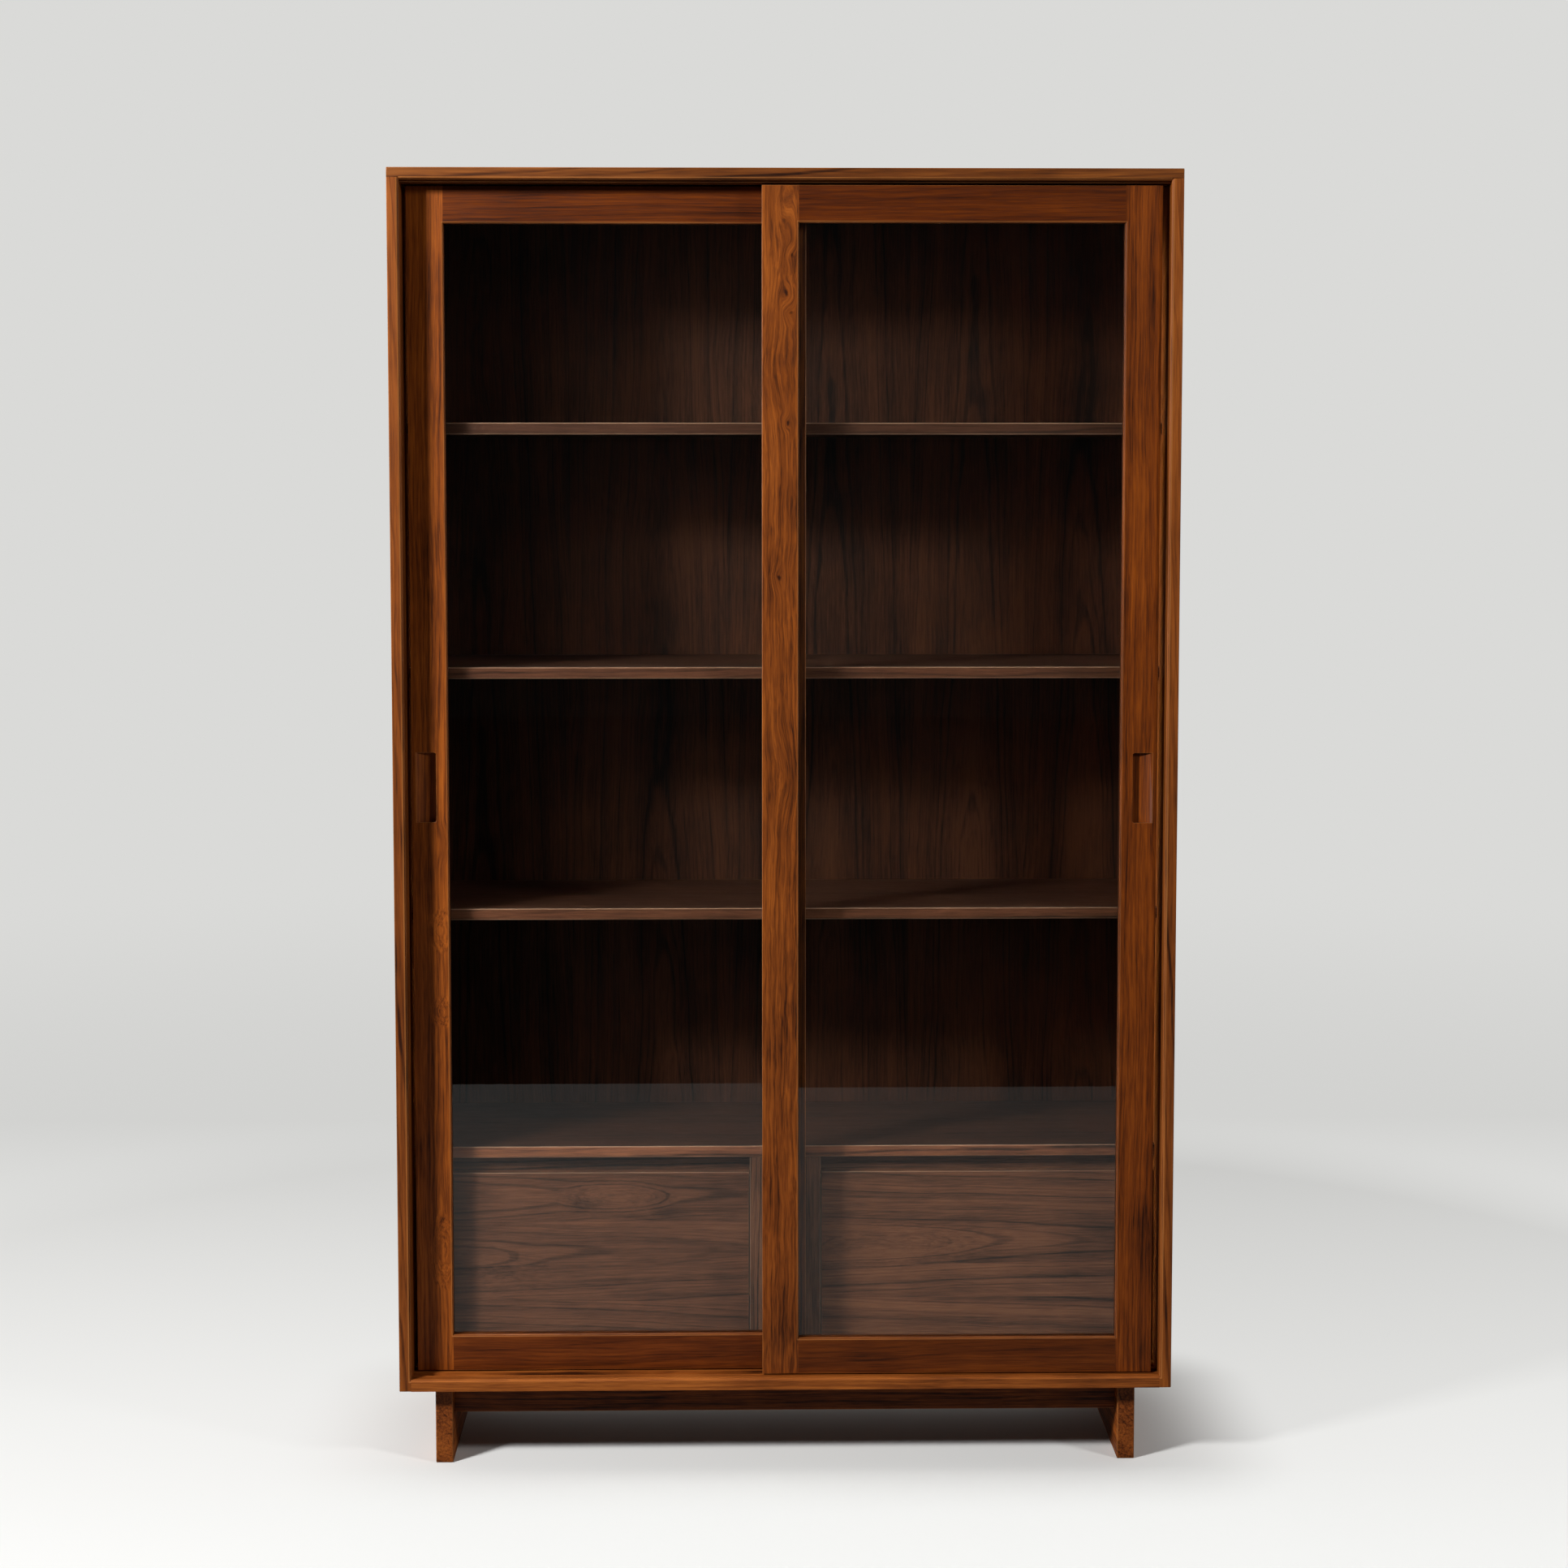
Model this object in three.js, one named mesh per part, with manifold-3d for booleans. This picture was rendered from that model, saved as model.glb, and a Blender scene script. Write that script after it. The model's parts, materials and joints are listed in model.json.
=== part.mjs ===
// A tall walnut bookcase with two sliding framed glass doors, three shelves, a deck over
// two drawers, and a base of two leg panels joined by stretchers.
// Millimetres, +Z up, the front faces -Y. The origin is on the floor, under the middle of the case.
import * as THREE from 'three';
import { mergeVertices } from 'three/addons/utils/BufferGeometryUtils.js';
import Module from 'manifold-3d';

const wasm = await Module();
wasm.setup();

// Case
const caseWidth = 1200;
const caseDepth = 410;
const legHeight = 122;
const edgeFace = 15;
const edgeBevel = 3;
const soffitSetback = 13;
const soffitStep = 3;
const backThickness = 12;
const backRebate = 8;
const backRecess = 4;

// Shelves and the deck over the drawers
const drawerBayHeight = 331;
const bayHeight = 359;
const bayCount = 4;
const shelfThickness = 18;
const shelfClearance = 14;
const shelfHousing = 6;
const postWidth = 111;
const postThickness = 18;
const dividerThickness = 15;

// Sliding doors and their tracks
const doorThickness = 22;
const doorSetback = 17;
const doorGap = 5;
const doorOverlap = 50;
const stileWidth = 56;
const railWidth = 56;
const doorFootGap = 2;
const doorHeadGap = 3;
const leftDoorAjar = 6;
const rightDoorAjar = 11.5;
const tongueShoulder = 7.5;
const tongueBackShoulder = 1.5;
const trackClearance = 0.75;
const lowerTrackDepth = 6;
const upperTrackDepth = 12;
const upperTongueRise = 5;
const restingGap = 0.25;

// Door joinery, glazing and finger pulls
const tenonLength = 30;
const tenonThickness = 7;
const tenonSetback = 7.5;
const tenonInset = 12;
const arris = 2;
const glassSetback = 9.5;
const glassThickness = 4;
const glassRebate = 8;
const glassEdgeGap = 0.5;
const beadRecess = 0.5;
const pullWidth = 31;
const pullHeight = 108;
const pullDepth = 8;
const pullInset = 6.5;
const pullCornerRadius = 4;
const pullCentreHeight = 918;

// Drawers and their runners
const drawerFrontThickness = 18;
const drawerSideGap = 1.5;
const drawerFootGap = 3;
const fingerGap = 24;
const drawerSideThickness = 12;
const drawerSideDrop = 67;
const drawerSideInset = 7;
const drawerTailGap = 26;
const drawerHousing = 6;
const drawerBottomThickness = 6;
const drawerBottomInset = 10;
const drawerBottomHousing = 5;
const drawerBottomPlay = 0.25;
const runnerWidth = 12;
const runnerHeight = 14;
const runnerEntry = 6;
const runnerClearance = 0.5;
const runnerRise = 100;
const runnerStopSetback = 12;
const runnerTailGap = 2;
const deckRailThickness = 15;
const deckRailLap = 8;
const deckRailClearance = 0.5;

// Base
const legThickness = 27;
const legInset = 53;
const legSetback = 26;
const stretcherHeight = 51;
const stretcherThickness = 22;
const stretcherSetback = 56;
const stretcherHousing = 8;
const boltRadius = 4;
const boltHeadRadius = 9;
const boltHeadHeight = 4;
const boltReach = 45;
const boltClearance = 0.5;
const boltPlaceShares = [0.26, 0.74];

// How far a cutter runs past the face it cuts, and how finely round forms are divided
const overrun = 1;
const boltFacets = 24;
const curveFacets = 6;

// Places that follow from the sizes above; depths run back from the front of the case
const front = -caseDepth / 2;
const edgeThickness = edgeFace + edgeBevel;
const halfCase = caseWidth / 2;
const halfOpening = halfCase - edgeThickness;
const floorBottom = legHeight;
const floorTop = floorBottom + edgeThickness;
const deckBottom = floorTop + drawerBayHeight;
const deckTop = deckBottom + shelfThickness;
const shelfPitch = bayHeight + shelfThickness;
const soffit = deckTop + bayCount * shelfPitch - shelfThickness;
const topFace = soffit + soffitStep + edgeThickness;
const topLapBottom = topFace - edgeFace;
const lipSoffit = soffit + soffitStep;
const backFace = front + caseDepth - backRecess - backThickness;
const doorPitch = doorThickness + doorGap;
const rearTrackFace = front + doorSetback + doorPitch;
const shelfFront = rearTrackFace + doorThickness + shelfClearance;
const tongueThickness = doorThickness - tongueShoulder - tongueBackShoulder;
const trackWidth = tongueThickness + trackClearance + trackClearance;
const doorWidth = (halfOpening + halfOpening + doorOverlap) / 2;
const doorFoot = floorTop + doorFootGap;
const doorHeight = soffit - doorHeadGap - doorFoot;
const tongueDrop = doorFootGap + lowerTrackDepth - restingGap;
const tongueRise = doorHeadGap + upperTongueRise;

const walnut = new THREE.MeshStandardMaterial({ color: 0x6b3a20, roughness: 0.5, metalness: 0 });
const paleWalnut = new THREE.MeshStandardMaterial({ color: 0x7d4c2c, roughness: 0.55, metalness: 0 });
const darkWalnut = new THREE.MeshStandardMaterial({ color: 0x552a17, roughness: 0.55, metalness: 0 });
const beech = new THREE.MeshStandardMaterial({ color: 0xb98a5c, roughness: 0.6, metalness: 0 });
const steel = new THREE.MeshStandardMaterial({ color: 0x8a8a88, roughness: 0.35, metalness: 1 });
const glass = new THREE.MeshPhysicalMaterial({
  color: 0xe6eeea,
  roughness: 0.03,
  metalness: 0,
  transparent: true,
  opacity: 0.25,
});

// A box that spans three pairs of low and high values
function block([x0, x1], [y0, y1], [z0, z1]) {
  const geometry = new THREE.BoxGeometry();
  const place = geometry.getAttribute('position');
  for (let i = 0; i < place.count; i += 1) {
    const x = place.getX(i) < 0 ? x0 : x1;
    const y = place.getY(i) < 0 ? y0 : y1;
    const z = place.getZ(i) < 0 ? z0 : z1;
    place.setXYZ(i, x, y, z);
  }
  return geometry;
}

// A box whose section grows by a flare on every side at its low end along Y
function flaredBlock([x0, x1], [y0, y1], [z0, z1], flare) {
  const geometry = block([x0, x1], [y0, y1], [z0, z1]);
  const place = geometry.getAttribute('position');
  for (let i = 0; i < place.count; i += 1) {
    if (place.getY(i) < y1 - (y1 - y0) / 2) {
      const x = place.getX(i) < x0 + (x1 - x0) / 2 ? x0 - flare : x1 + flare;
      const z = place.getZ(i) < z0 + (z1 - z0) / 2 ? z0 - flare : z1 + flare;
      place.setXYZ(i, x, place.getY(i), z);
    }
  }
  return geometry;
}

// A boolean solid of a closed geometry, from its positions alone
function solid(geometry) {
  const bare = geometry.index ? geometry.toNonIndexed() : geometry.clone();
  bare.deleteAttribute('normal');
  bare.deleteAttribute('uv');
  const merged = mergeVertices(bare);
  return new wasm.Manifold(
    new wasm.Mesh({
      numProp: 3,
      vertProperties: merged.getAttribute('position').array,
      triVerts: new Uint32Array(merged.index.array),
    }),
  );
}

// The geometry of a boolean solid, with flat faces
function geometryOf(result) {
  const mesh = result.getMesh();
  const geometry = new THREE.BufferGeometry();
  geometry.setAttribute('position', new THREE.BufferAttribute(mesh.vertProperties, mesh.numProp));
  geometry.setIndex(new THREE.BufferAttribute(mesh.triVerts, 1));
  const flat = geometry.toNonIndexed();
  flat.computeVertexNormals();
  return flat;
}

// The first geometry with the added ones joined on and the cutters taken away
function shaped(base, added, cutters) {
  let result = solid(base);
  for (const extra of added) {
    result = result.add(solid(extra));
  }
  for (const cutter of cutters) {
    result = result.subtract(solid(cutter));
  }
  return geometryOf(result);
}

function piece(name, geometry, material) {
  const mesh = new THREE.Mesh(geometry, material);
  mesh.name = name;
  return mesh;
}

// A span and its mirror image across X = 0, so that a left piece and a right one share sizes
function sideSpan(side, inner, outer) {
  return side < 0 ? [-outer, -inner] : [inner, outer];
}

// The splayed cut that leaves one mitred bevel round the inside of the case's front edge
function edgeBevelCut() {
  const inner = halfOpening - overrun;
  return flaredBlock(
    [-inner, inner],
    [front - overrun, front + edgeBevel + overrun],
    [floorTop + overrun, lipSoffit - overrun],
    edgeBevel + overrun + overrun,
  );
}

// The two door tracks, cut between two heights
function trackCuts(low, high) {
  const cuts = [];
  for (let door = 0; door < 2; door += 1) {
    const start = front + doorSetback + door * doorPitch + tongueShoulder - trackClearance;
    cuts.push(block([-halfOpening, halfOpening], [start, start + trackWidth], [low, high]));
  }
  return cuts;
}

// Room for the back panel in the rear edges
function backCut() {
  return block(
    [-halfOpening - backRebate, halfOpening + backRebate],
    [backFace, -front + overrun],
    [floorTop - backRebate, soffit + backRebate],
  );
}

// Where the heads of the leg bolts stand, as the middle of each bolt
function boltPlaces() {
  const places = [];
  const depth = caseDepth - legSetback - legSetback;
  for (const side of [-1, 1]) {
    for (const share of boltPlaceShares) {
      const x = side * (halfCase - legInset - legThickness / 2);
      places.push(new THREE.Vector2(x, front + legSetback + share * depth));
    }
  }
  return places;
}

// An upright round bar between two heights
function upright(place, radius, low, high) {
  const bar = new THREE.CylinderGeometry(radius, radius, high - low, boltFacets);
  bar.rotateX(Math.PI / 2);
  bar.translate(place.x, place.y, (low + high) / 2);
  return bar;
}

// Room for a bolt's shank
function boltBore(place, low, high) {
  return upright(place, boltRadius + boltClearance, low, high);
}

function topBoard() {
  const board = block([-halfCase, halfCase], [front, -front], [topLapBottom, topFace]);
  const lip = block([-halfOpening, halfOpening], [front, -front], [lipSoffit, topLapBottom + overrun]);
  const inner = block(
    [-halfOpening, halfOpening],
    [front + soffitSetback, -front],
    [soffit, lipSoffit + overrun],
  );
  const cuts = trackCuts(soffit - overrun, soffit + upperTrackDepth);
  cuts.push(edgeBevelCut(), backCut());
  return piece('top_board', shaped(board, [lip, inner], cuts), walnut);
}

function bottomBoard() {
  const board = block([-halfOpening, halfOpening], [front, -front], [floorBottom, floorTop]);
  const cuts = [edgeBevelCut(), backCut(), ...trackCuts(floorTop - lowerTrackDepth, floorTop + overrun)];
  const head = boltHeadHeight + overrun;
  for (const place of boltPlaces()) {
    cuts.push(upright(place, boltHeadRadius + boltClearance, floorTop - head, floorTop + overrun));
    cuts.push(boltBore(place, floorBottom - overrun, floorTop));
  }
  return piece('bottom_board', shaped(board, [], cuts), walnut);
}

// The lowest and highest face of the deck and of each shelf
function shelfSpans() {
  const spans = [];
  for (let bay = 0; bay < bayCount; bay += 1) {
    const low = deckBottom + bay * shelfPitch;
    spans.push([low, low + shelfThickness]);
  }
  return spans;
}

function sideBoard(name, side) {
  const board = block(sideSpan(side, halfOpening, halfCase), [front, -front], [floorBottom, topLapBottom]);
  const housings = shelfSpans().map((span) =>
    block(sideSpan(side, halfOpening - overrun, halfOpening + shelfHousing), [shelfFront, backFace], span),
  );
  return piece(name, shaped(board, [], [edgeBevelCut(), backCut(), ...housings]), walnut);
}

function backPanel() {
  const half = halfOpening + backRebate;
  const heights = [floorTop - backRebate, soffit + backRebate];
  const panel = block([-half, half], [backFace, backFace + backThickness], heights);
  return piece('back_panel', panel, darkWalnut);
}

function shelves() {
  const names = ['deck_board', 'lower_shelf', 'middle_shelf', 'upper_shelf'];
  const half = halfOpening + shelfHousing;
  return shelfSpans().map((span, i) =>
    piece(names[i] ?? `shelf_${i + 1}`, block([-half, half], [shelfFront, backFace], span), paleWalnut),
  );
}

// The wide post that hides the drawers' inner ends, and the two panels behind it
function drawerPartition() {
  const half = postWidth / 2;
  const postBack = shelfFront + postThickness;
  const post = block([-half, half], [shelfFront, postBack], [floorTop, deckBottom]);
  const made = [piece('centre_post', post, darkWalnut)];
  for (const [name, side] of [['left_divider', -1], ['right_divider', 1]]) {
    const panel = block(
      sideSpan(side, half - dividerThickness, half),
      [postBack, backFace],
      [floorTop, deckBottom],
    );
    made.push(piece(name, panel, darkWalnut));
  }
  return made;
}

// Rails under the deck that close the drawers' finger gaps from behind and stop their fronts
function deckRails() {
  const face = shelfFront + drawerFrontThickness + deckRailClearance;
  const low = deckBottom - fingerGap - deckRailLap;
  const made = [];
  for (const [name, side] of [['left_deck_rail', -1], ['right_deck_rail', 1]]) {
    const span = sideSpan(side, postWidth / 2, halfOpening);
    const rail = block(span, [face, face + deckRailThickness], [low, deckBottom]);
    made.push(piece(name, rail, darkWalnut));
  }
  return made;
}

// Strips on the case side and on the divider that carry a drawer by the grooves in its sides
function drawerRunners() {
  const stop = shelfFront + drawerFrontThickness + runnerStopSetback;
  const low = floorTop + runnerRise;
  const made = [];
  for (const [name, side] of [['left_drawer', -1], ['right_drawer', 1]]) {
    const spans = [
      ['outer', sideSpan(side, halfOpening - runnerWidth, halfOpening)],
      ['inner', sideSpan(side, postWidth / 2, postWidth / 2 + runnerWidth)],
    ];
    for (const [place, span] of spans) {
      const strip = block(span, [stop, backFace - runnerTailGap], [low, low + runnerHeight]);
      made.push(piece(`${name}_${place}_runner`, strip, beech));
    }
  }
  return made;
}

// Rear face of a drawer's box, the groove for its runner, and the two sides' spans
function drawerLayout() {
  const left = postWidth / 2 + drawerSideGap;
  const right = halfOpening - drawerSideGap;
  const reach = runnerWidth - runnerEntry;
  const inner = postWidth / 2 + reach;
  const outer = halfOpening - reach;
  const sideBottom = floorTop + drawerFootGap + drawerSideInset;
  return { left, right, inner, outer, sideBottom };
}

// A drawer: its front, two sides, back and a bottom held in grooves all round.
// Sizes are those of the right drawer, and side -1 mirrors them.
function drawer(name, side) {
  const { left, right, inner, outer, sideBottom } = drawerLayout();
  const group = new THREE.Group();
  const frontBack = shelfFront + drawerFrontThickness;
  const boxBack = backFace - drawerTailGap;
  const frontBottom = floorTop + drawerFootGap;
  const frontTop = deckBottom - fingerGap;
  const sideTop = frontTop - drawerSideDrop;
  const housingFront = frontBack - drawerHousing;
  const sides = [
    ['inner', inner, inner + drawerSideThickness],
    ['outer', outer - drawerSideThickness, outer],
  ];
  const bottomLow = sideBottom + drawerBottomInset;
  const bottomHigh = bottomLow + drawerBottomThickness;
  const grooveHeight = [bottomLow - drawerBottomPlay, bottomHigh + drawerBottomPlay];
  const wallLow = inner + drawerSideThickness;
  const wallHigh = outer - drawerSideThickness;
  const bottomX = [wallLow - drawerBottomHousing, wallHigh + drawerBottomHousing];
  const bottomY = [frontBack - drawerBottomHousing, boxBack - drawerSideThickness + drawerBottomHousing];
  const play = drawerBottomPlay;
  const bottomRoom = block(
    sideSpan(side, bottomX[0] - play, bottomX[1] + play),
    [bottomY[0] - play, bottomY[1] + play],
    grooveHeight,
  );
  const housings = sides.map(([, low, high]) =>
    block(sideSpan(side, low, high), [housingFront, frontBack + overrun], [sideBottom, sideTop]),
  );
  const face = block(sideSpan(side, left, right), [shelfFront, frontBack], [frontBottom, frontTop]);
  group.add(piece(`${name}_front`, shaped(face, [], [...housings, bottomRoom]), darkWalnut));
  for (const [place, low, high] of sides) {
    const board = block(sideSpan(side, low, high), [housingFront, boxBack], [sideBottom, sideTop]);
    const cuts = [bottomRoom, runnerGroove(side, place, boxBack)];
    group.add(piece(`${name}_${place}_side`, shaped(board, [], cuts), beech));
  }
  const back = block(
    sideSpan(side, wallLow, wallHigh),
    [boxBack - drawerSideThickness, boxBack],
    [sideBottom, sideTop],
  );
  group.add(piece(`${name}_back`, shaped(back, [], [bottomRoom]), beech));
  const bottom = block(sideSpan(side, bottomX[0], bottomX[1]), bottomY, [bottomLow, bottomHigh]);
  group.add(piece(`${name}_bottom`, bottom, beech));
  return group;
}

// The stopped groove in a drawer side, which its runner enters from the back
function runnerGroove(side, place, boxBack) {
  const { inner, outer } = drawerLayout();
  const depth = runnerEntry + runnerClearance;
  const span = place === 'inner' ? [inner - overrun, inner + depth] : [outer - depth, outer + overrun];
  const stop = shelfFront + drawerFrontThickness + runnerStopSetback - runnerClearance;
  const low = floorTop + runnerRise;
  return block(
    sideSpan(side, span[0], span[1]),
    [stop, boxBack + overrun],
    [low - runnerClearance, low + runnerHeight + restingGap],
  );
}

// A scooped finger pull: the floor slopes in from the door's outer edge to a straight wall
function pullCut(side) {
  const outline = new THREE.Shape();
  const halfPull = pullHeight / 2;
  const wall = side * (doorWidth / 2 - pullInset - pullWidth);
  const edge = side * (doorWidth / 2 - pullInset);
  const round = side * pullCornerRadius;
  const top = pullCentreHeight + halfPull;
  const low = pullCentreHeight - halfPull;
  outline.moveTo(edge, low);
  outline.lineTo(edge, top);
  outline.lineTo(wall + round, top);
  outline.quadraticCurveTo(wall, top, wall, top - pullCornerRadius);
  outline.lineTo(wall, low + pullCornerRadius);
  outline.quadraticCurveTo(wall, low, wall + round, low);
  outline.closePath();
  const window = new THREE.ExtrudeGeometry(outline, {
    depth: pullDepth + pullDepth,
    bevelEnabled: false,
    curveSegments: curveFacets,
  });
  window.rotateX(Math.PI / 2);
  window.translate(0, pullDepth + overrun, 0);
  const profile = new THREE.Shape();
  const deepest = wall + round;
  profile.moveTo(edge, -overrun);
  profile.lineTo(edge, 0);
  profile.quadraticCurveTo((edge + deepest) / 2, pullDepth, deepest, pullDepth);
  profile.lineTo(wall, pullDepth);
  profile.lineTo(wall, -overrun);
  profile.closePath();
  const scoop = new THREE.ExtrudeGeometry(profile, {
    depth: pullHeight + overrun + overrun,
    bevelEnabled: false,
    curveSegments: curveFacets,
  });
  scoop.translate(0, 0, low - overrun);
  return solid(window).intersect(solid(scoop));
}

// A sliding door around the middle of its width, with its face at y = 0 and its foot at z = 0.
// pullSide is -1 for a pull in the left stile and 1 for one in the right stile.
function slidingDoor(name, pullSide) {
  const group = new THREE.Group();
  const half = doorWidth / 2;
  const tongueY = [tongueShoulder, tongueShoulder + tongueThickness];
  const whole = [0, doorThickness];
  const footTongue = [-tongueDrop, overrun];
  const headTongue = [doorHeight - overrun, doorHeight + tongueRise];
  const sightX = half - stileWidth;
  const sightZ = [railWidth, doorHeight - railWidth];
  const sightCut = flaredBlock(
    [-sightX + overrun, sightX - overrun],
    [-overrun, arris + overrun],
    [sightZ[0] + overrun, sightZ[1] - overrun],
    arris + overrun + overrun,
  );
  const rebateX = sightX + glassRebate;
  const rebateZ = [sightZ[0] - glassRebate, sightZ[1] + glassRebate];
  const rebateCut = block([-rebateX, rebateX], [glassSetback, doorThickness + overrun], rebateZ);
  const tenonY = [tenonSetback, tenonSetback + tenonThickness];
  const tenonSpans = [
    [tenonInset, railWidth - tenonInset],
    [doorHeight - railWidth + tenonInset, doorHeight - tenonInset],
  ];
  for (const [place, side] of [['left', -1], ['right', 1]]) {
    const span = sideSpan(side, sightX, half);
    const stile = block(span, whole, [0, doorHeight]);
    const tongues = [block(span, tongueY, footTongue), block(span, tongueY, headTongue)];
    const cuts = [sightCut, rebateCut];
    for (const heights of tenonSpans) {
      cuts.push(block(sideSpan(side, sightX - overrun, sightX + tenonLength), tenonY, heights));
    }
    let made = shaped(stile, tongues, cuts);
    if (side === pullSide) {
      made = geometryOf(solid(made).subtract(pullCut(side)));
    }
    group.add(piece(`${name}_${place}_stile`, made, walnut));
  }
  const railSpans = [
    ['bottom', [0, railWidth], footTongue, tenonSpans[0]],
    ['top', [doorHeight - railWidth, doorHeight], headTongue, tenonSpans[1]],
  ];
  for (const [place, heights, tongue, tenon] of railSpans) {
    const rail = block([-sightX, sightX], whole, heights);
    const tenonReach = sightX + tenonLength;
    const added = [
      block([-sightX, sightX], tongueY, tongue),
      block([-tenonReach, tenonReach], tenonY, tenon),
    ];
    group.add(piece(`${name}_${place}_rail`, shaped(rail, added, [sightCut, rebateCut]), walnut));
  }
  glazing(group, name, rebateX, rebateZ);
  return group;
}

// The pane against the rebate, and the four beads that hold it from behind
function glazing(group, name, rebateX, rebateZ) {
  const paneX = rebateX - glassEdgeGap;
  const paneZ = [rebateZ[0] + glassEdgeGap, rebateZ[1] - glassEdgeGap];
  const paneBack = glassSetback + glassThickness;
  group.add(piece(`${name}_glass`, block([-paneX, paneX], [glassSetback, paneBack], paneZ), glass));
  const beadY = [paneBack, doorThickness - beadRecess];
  const innerX = rebateX - glassRebate;
  for (const [place, side] of [['left', -1], ['right', 1]]) {
    const bead = block(sideSpan(side, innerX, rebateX), beadY, rebateZ);
    group.add(piece(`${name}_${place}_bead`, bead, walnut));
  }
  const beads = [
    ['bottom', [rebateZ[0], rebateZ[0] + glassRebate]],
    ['top', [rebateZ[1] - glassRebate, rebateZ[1]]],
  ];
  for (const [place, heights] of beads) {
    group.add(piece(`${name}_${place}_bead`, block([-innerX, innerX], beadY, heights), walnut));
  }
}

function legPanels() {
  const outer = halfCase - legInset;
  const stretcherCuts = stretcherSpans(outer - legThickness + stretcherHousing);
  return [['left_leg_panel', -1], ['right_leg_panel', 1]].map(([name, side]) => {
    const panel = block(
      sideSpan(side, outer - legThickness, outer),
      [front + legSetback, -front - legSetback],
      [0, legHeight],
    );
    const bores = boltPlaces()
      .filter((place) => Math.sign(place.x) === side)
      .map((place) => boltBore(place, legHeight - boltReach, legHeight + overrun));
    const housings = stretcherCuts.map(([x, y]) => block(x, y, [legHeight - stretcherHeight, legHeight]));
    return piece(name, shaped(panel, [], [...bores, ...housings]), walnut);
  });
}

// The front and rear stretchers' spans along X and Y, for a given half length
function stretcherSpans(half) {
  const faces = [
    [front + stretcherSetback, front + stretcherSetback + stretcherThickness],
    [-front - stretcherSetback - stretcherThickness, -front - stretcherSetback],
  ];
  return faces.map((y) => [[-half, half], y]);
}

function stretchers() {
  const half = halfCase - legInset - legThickness + stretcherHousing;
  const names = ['front_stretcher', 'rear_stretcher'];
  return stretcherSpans(half).map(([x, y], i) =>
    piece(names[i], block(x, y, [legHeight - stretcherHeight, legHeight]), walnut),
  );
}

// Bolts that hold the leg panels up against the bottom board, with their heads let into it
function legBolts() {
  const seat = floorTop - boltHeadHeight - overrun;
  return boltPlaces().map((place, i) => {
    const head = upright(place, boltHeadRadius, seat, seat + boltHeadHeight);
    const tip = legHeight - boltReach + boltClearance;
    const shank = upright(place, boltRadius, tip, seat + boltHeadHeight / 2);
    return piece(`leg_bolt_${i + 1}`, shaped(head, [shank], []), steel);
  });
}

const caseGroup = new THREE.Group();
caseGroup.add(topBoard(), bottomBoard());
caseGroup.add(sideBoard('left_side', -1), sideBoard('right_side', 1));
caseGroup.add(backPanel(), ...shelves(), ...drawerPartition());
caseGroup.add(...deckRails(), ...drawerRunners());
caseGroup.add(...legPanels(), ...stretchers(), ...legBolts());

// The left door runs in the rear track and the right door in the front one, and each stands a
// little short of its side of the case
const leftDoor = slidingDoor('left_door', -1);
leftDoor.position.set(-halfOpening + leftDoorAjar + doorWidth / 2, rearTrackFace, doorFoot);
const rightDoor = slidingDoor('right_door', 1);
rightDoor.position.set(halfOpening - rightDoorAjar - doorWidth / 2, front + doorSetback, doorFoot);

const group = new THREE.Group();
group.add(caseGroup, leftDoor, rightDoor, drawer('left_drawer', -1), drawer('right_drawer', 1));

export default group;
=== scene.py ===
"""Looks of the glazed walnut bookcase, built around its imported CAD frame.

Each wooden part of the frame is copied, its free arrises are eased, and it gets a run of
grain of its own. Metres, +Z up, with the front towards -Y.
"""

import json
import logging
import math
from dataclasses import dataclass, replace
from enum import Enum

import bmesh
import bpy
from mathutils import Matrix, Vector
from mathutils.bvhtree import BVHTree

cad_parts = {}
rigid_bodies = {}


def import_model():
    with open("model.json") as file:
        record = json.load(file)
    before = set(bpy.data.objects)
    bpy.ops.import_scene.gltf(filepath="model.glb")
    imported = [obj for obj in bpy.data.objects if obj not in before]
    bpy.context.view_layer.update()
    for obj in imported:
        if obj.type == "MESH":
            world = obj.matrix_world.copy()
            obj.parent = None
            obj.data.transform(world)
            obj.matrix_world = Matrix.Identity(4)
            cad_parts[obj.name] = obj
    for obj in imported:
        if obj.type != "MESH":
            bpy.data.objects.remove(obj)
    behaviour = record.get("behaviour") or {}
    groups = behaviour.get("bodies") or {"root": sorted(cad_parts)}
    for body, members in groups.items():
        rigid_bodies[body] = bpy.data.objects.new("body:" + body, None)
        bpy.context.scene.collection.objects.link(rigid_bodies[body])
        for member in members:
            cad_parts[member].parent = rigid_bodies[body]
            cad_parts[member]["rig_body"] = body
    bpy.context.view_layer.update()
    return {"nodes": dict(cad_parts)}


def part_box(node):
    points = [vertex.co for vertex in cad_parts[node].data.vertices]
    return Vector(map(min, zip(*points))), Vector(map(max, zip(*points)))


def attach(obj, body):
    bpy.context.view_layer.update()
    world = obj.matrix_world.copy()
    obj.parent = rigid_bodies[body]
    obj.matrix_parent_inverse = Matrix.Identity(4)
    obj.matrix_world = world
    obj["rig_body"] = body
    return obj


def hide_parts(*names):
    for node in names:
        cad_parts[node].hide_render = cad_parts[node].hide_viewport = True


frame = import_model()

LOG = logging.getLogger("bookcase")
MM = 0.001
# How many finer layers noise holds
DETAIL = 3.0
# A range with soft ends
SMOOTH = {"interpolation_type": "SMOOTHSTEP"}
# A mix of two colours, its inputs for the share and for either colour, and its output
COLOURS = {"data_type": "RGBA"}
SHARE = 0
FIRST = 6
SECOND = 7
MIXED = 2
Socket = bpy.types.NodeSocket
Material = bpy.types.Material
Row = tuple[float, ...]
Pair = tuple[float, float]
Triple = tuple[float, float, float]


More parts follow.
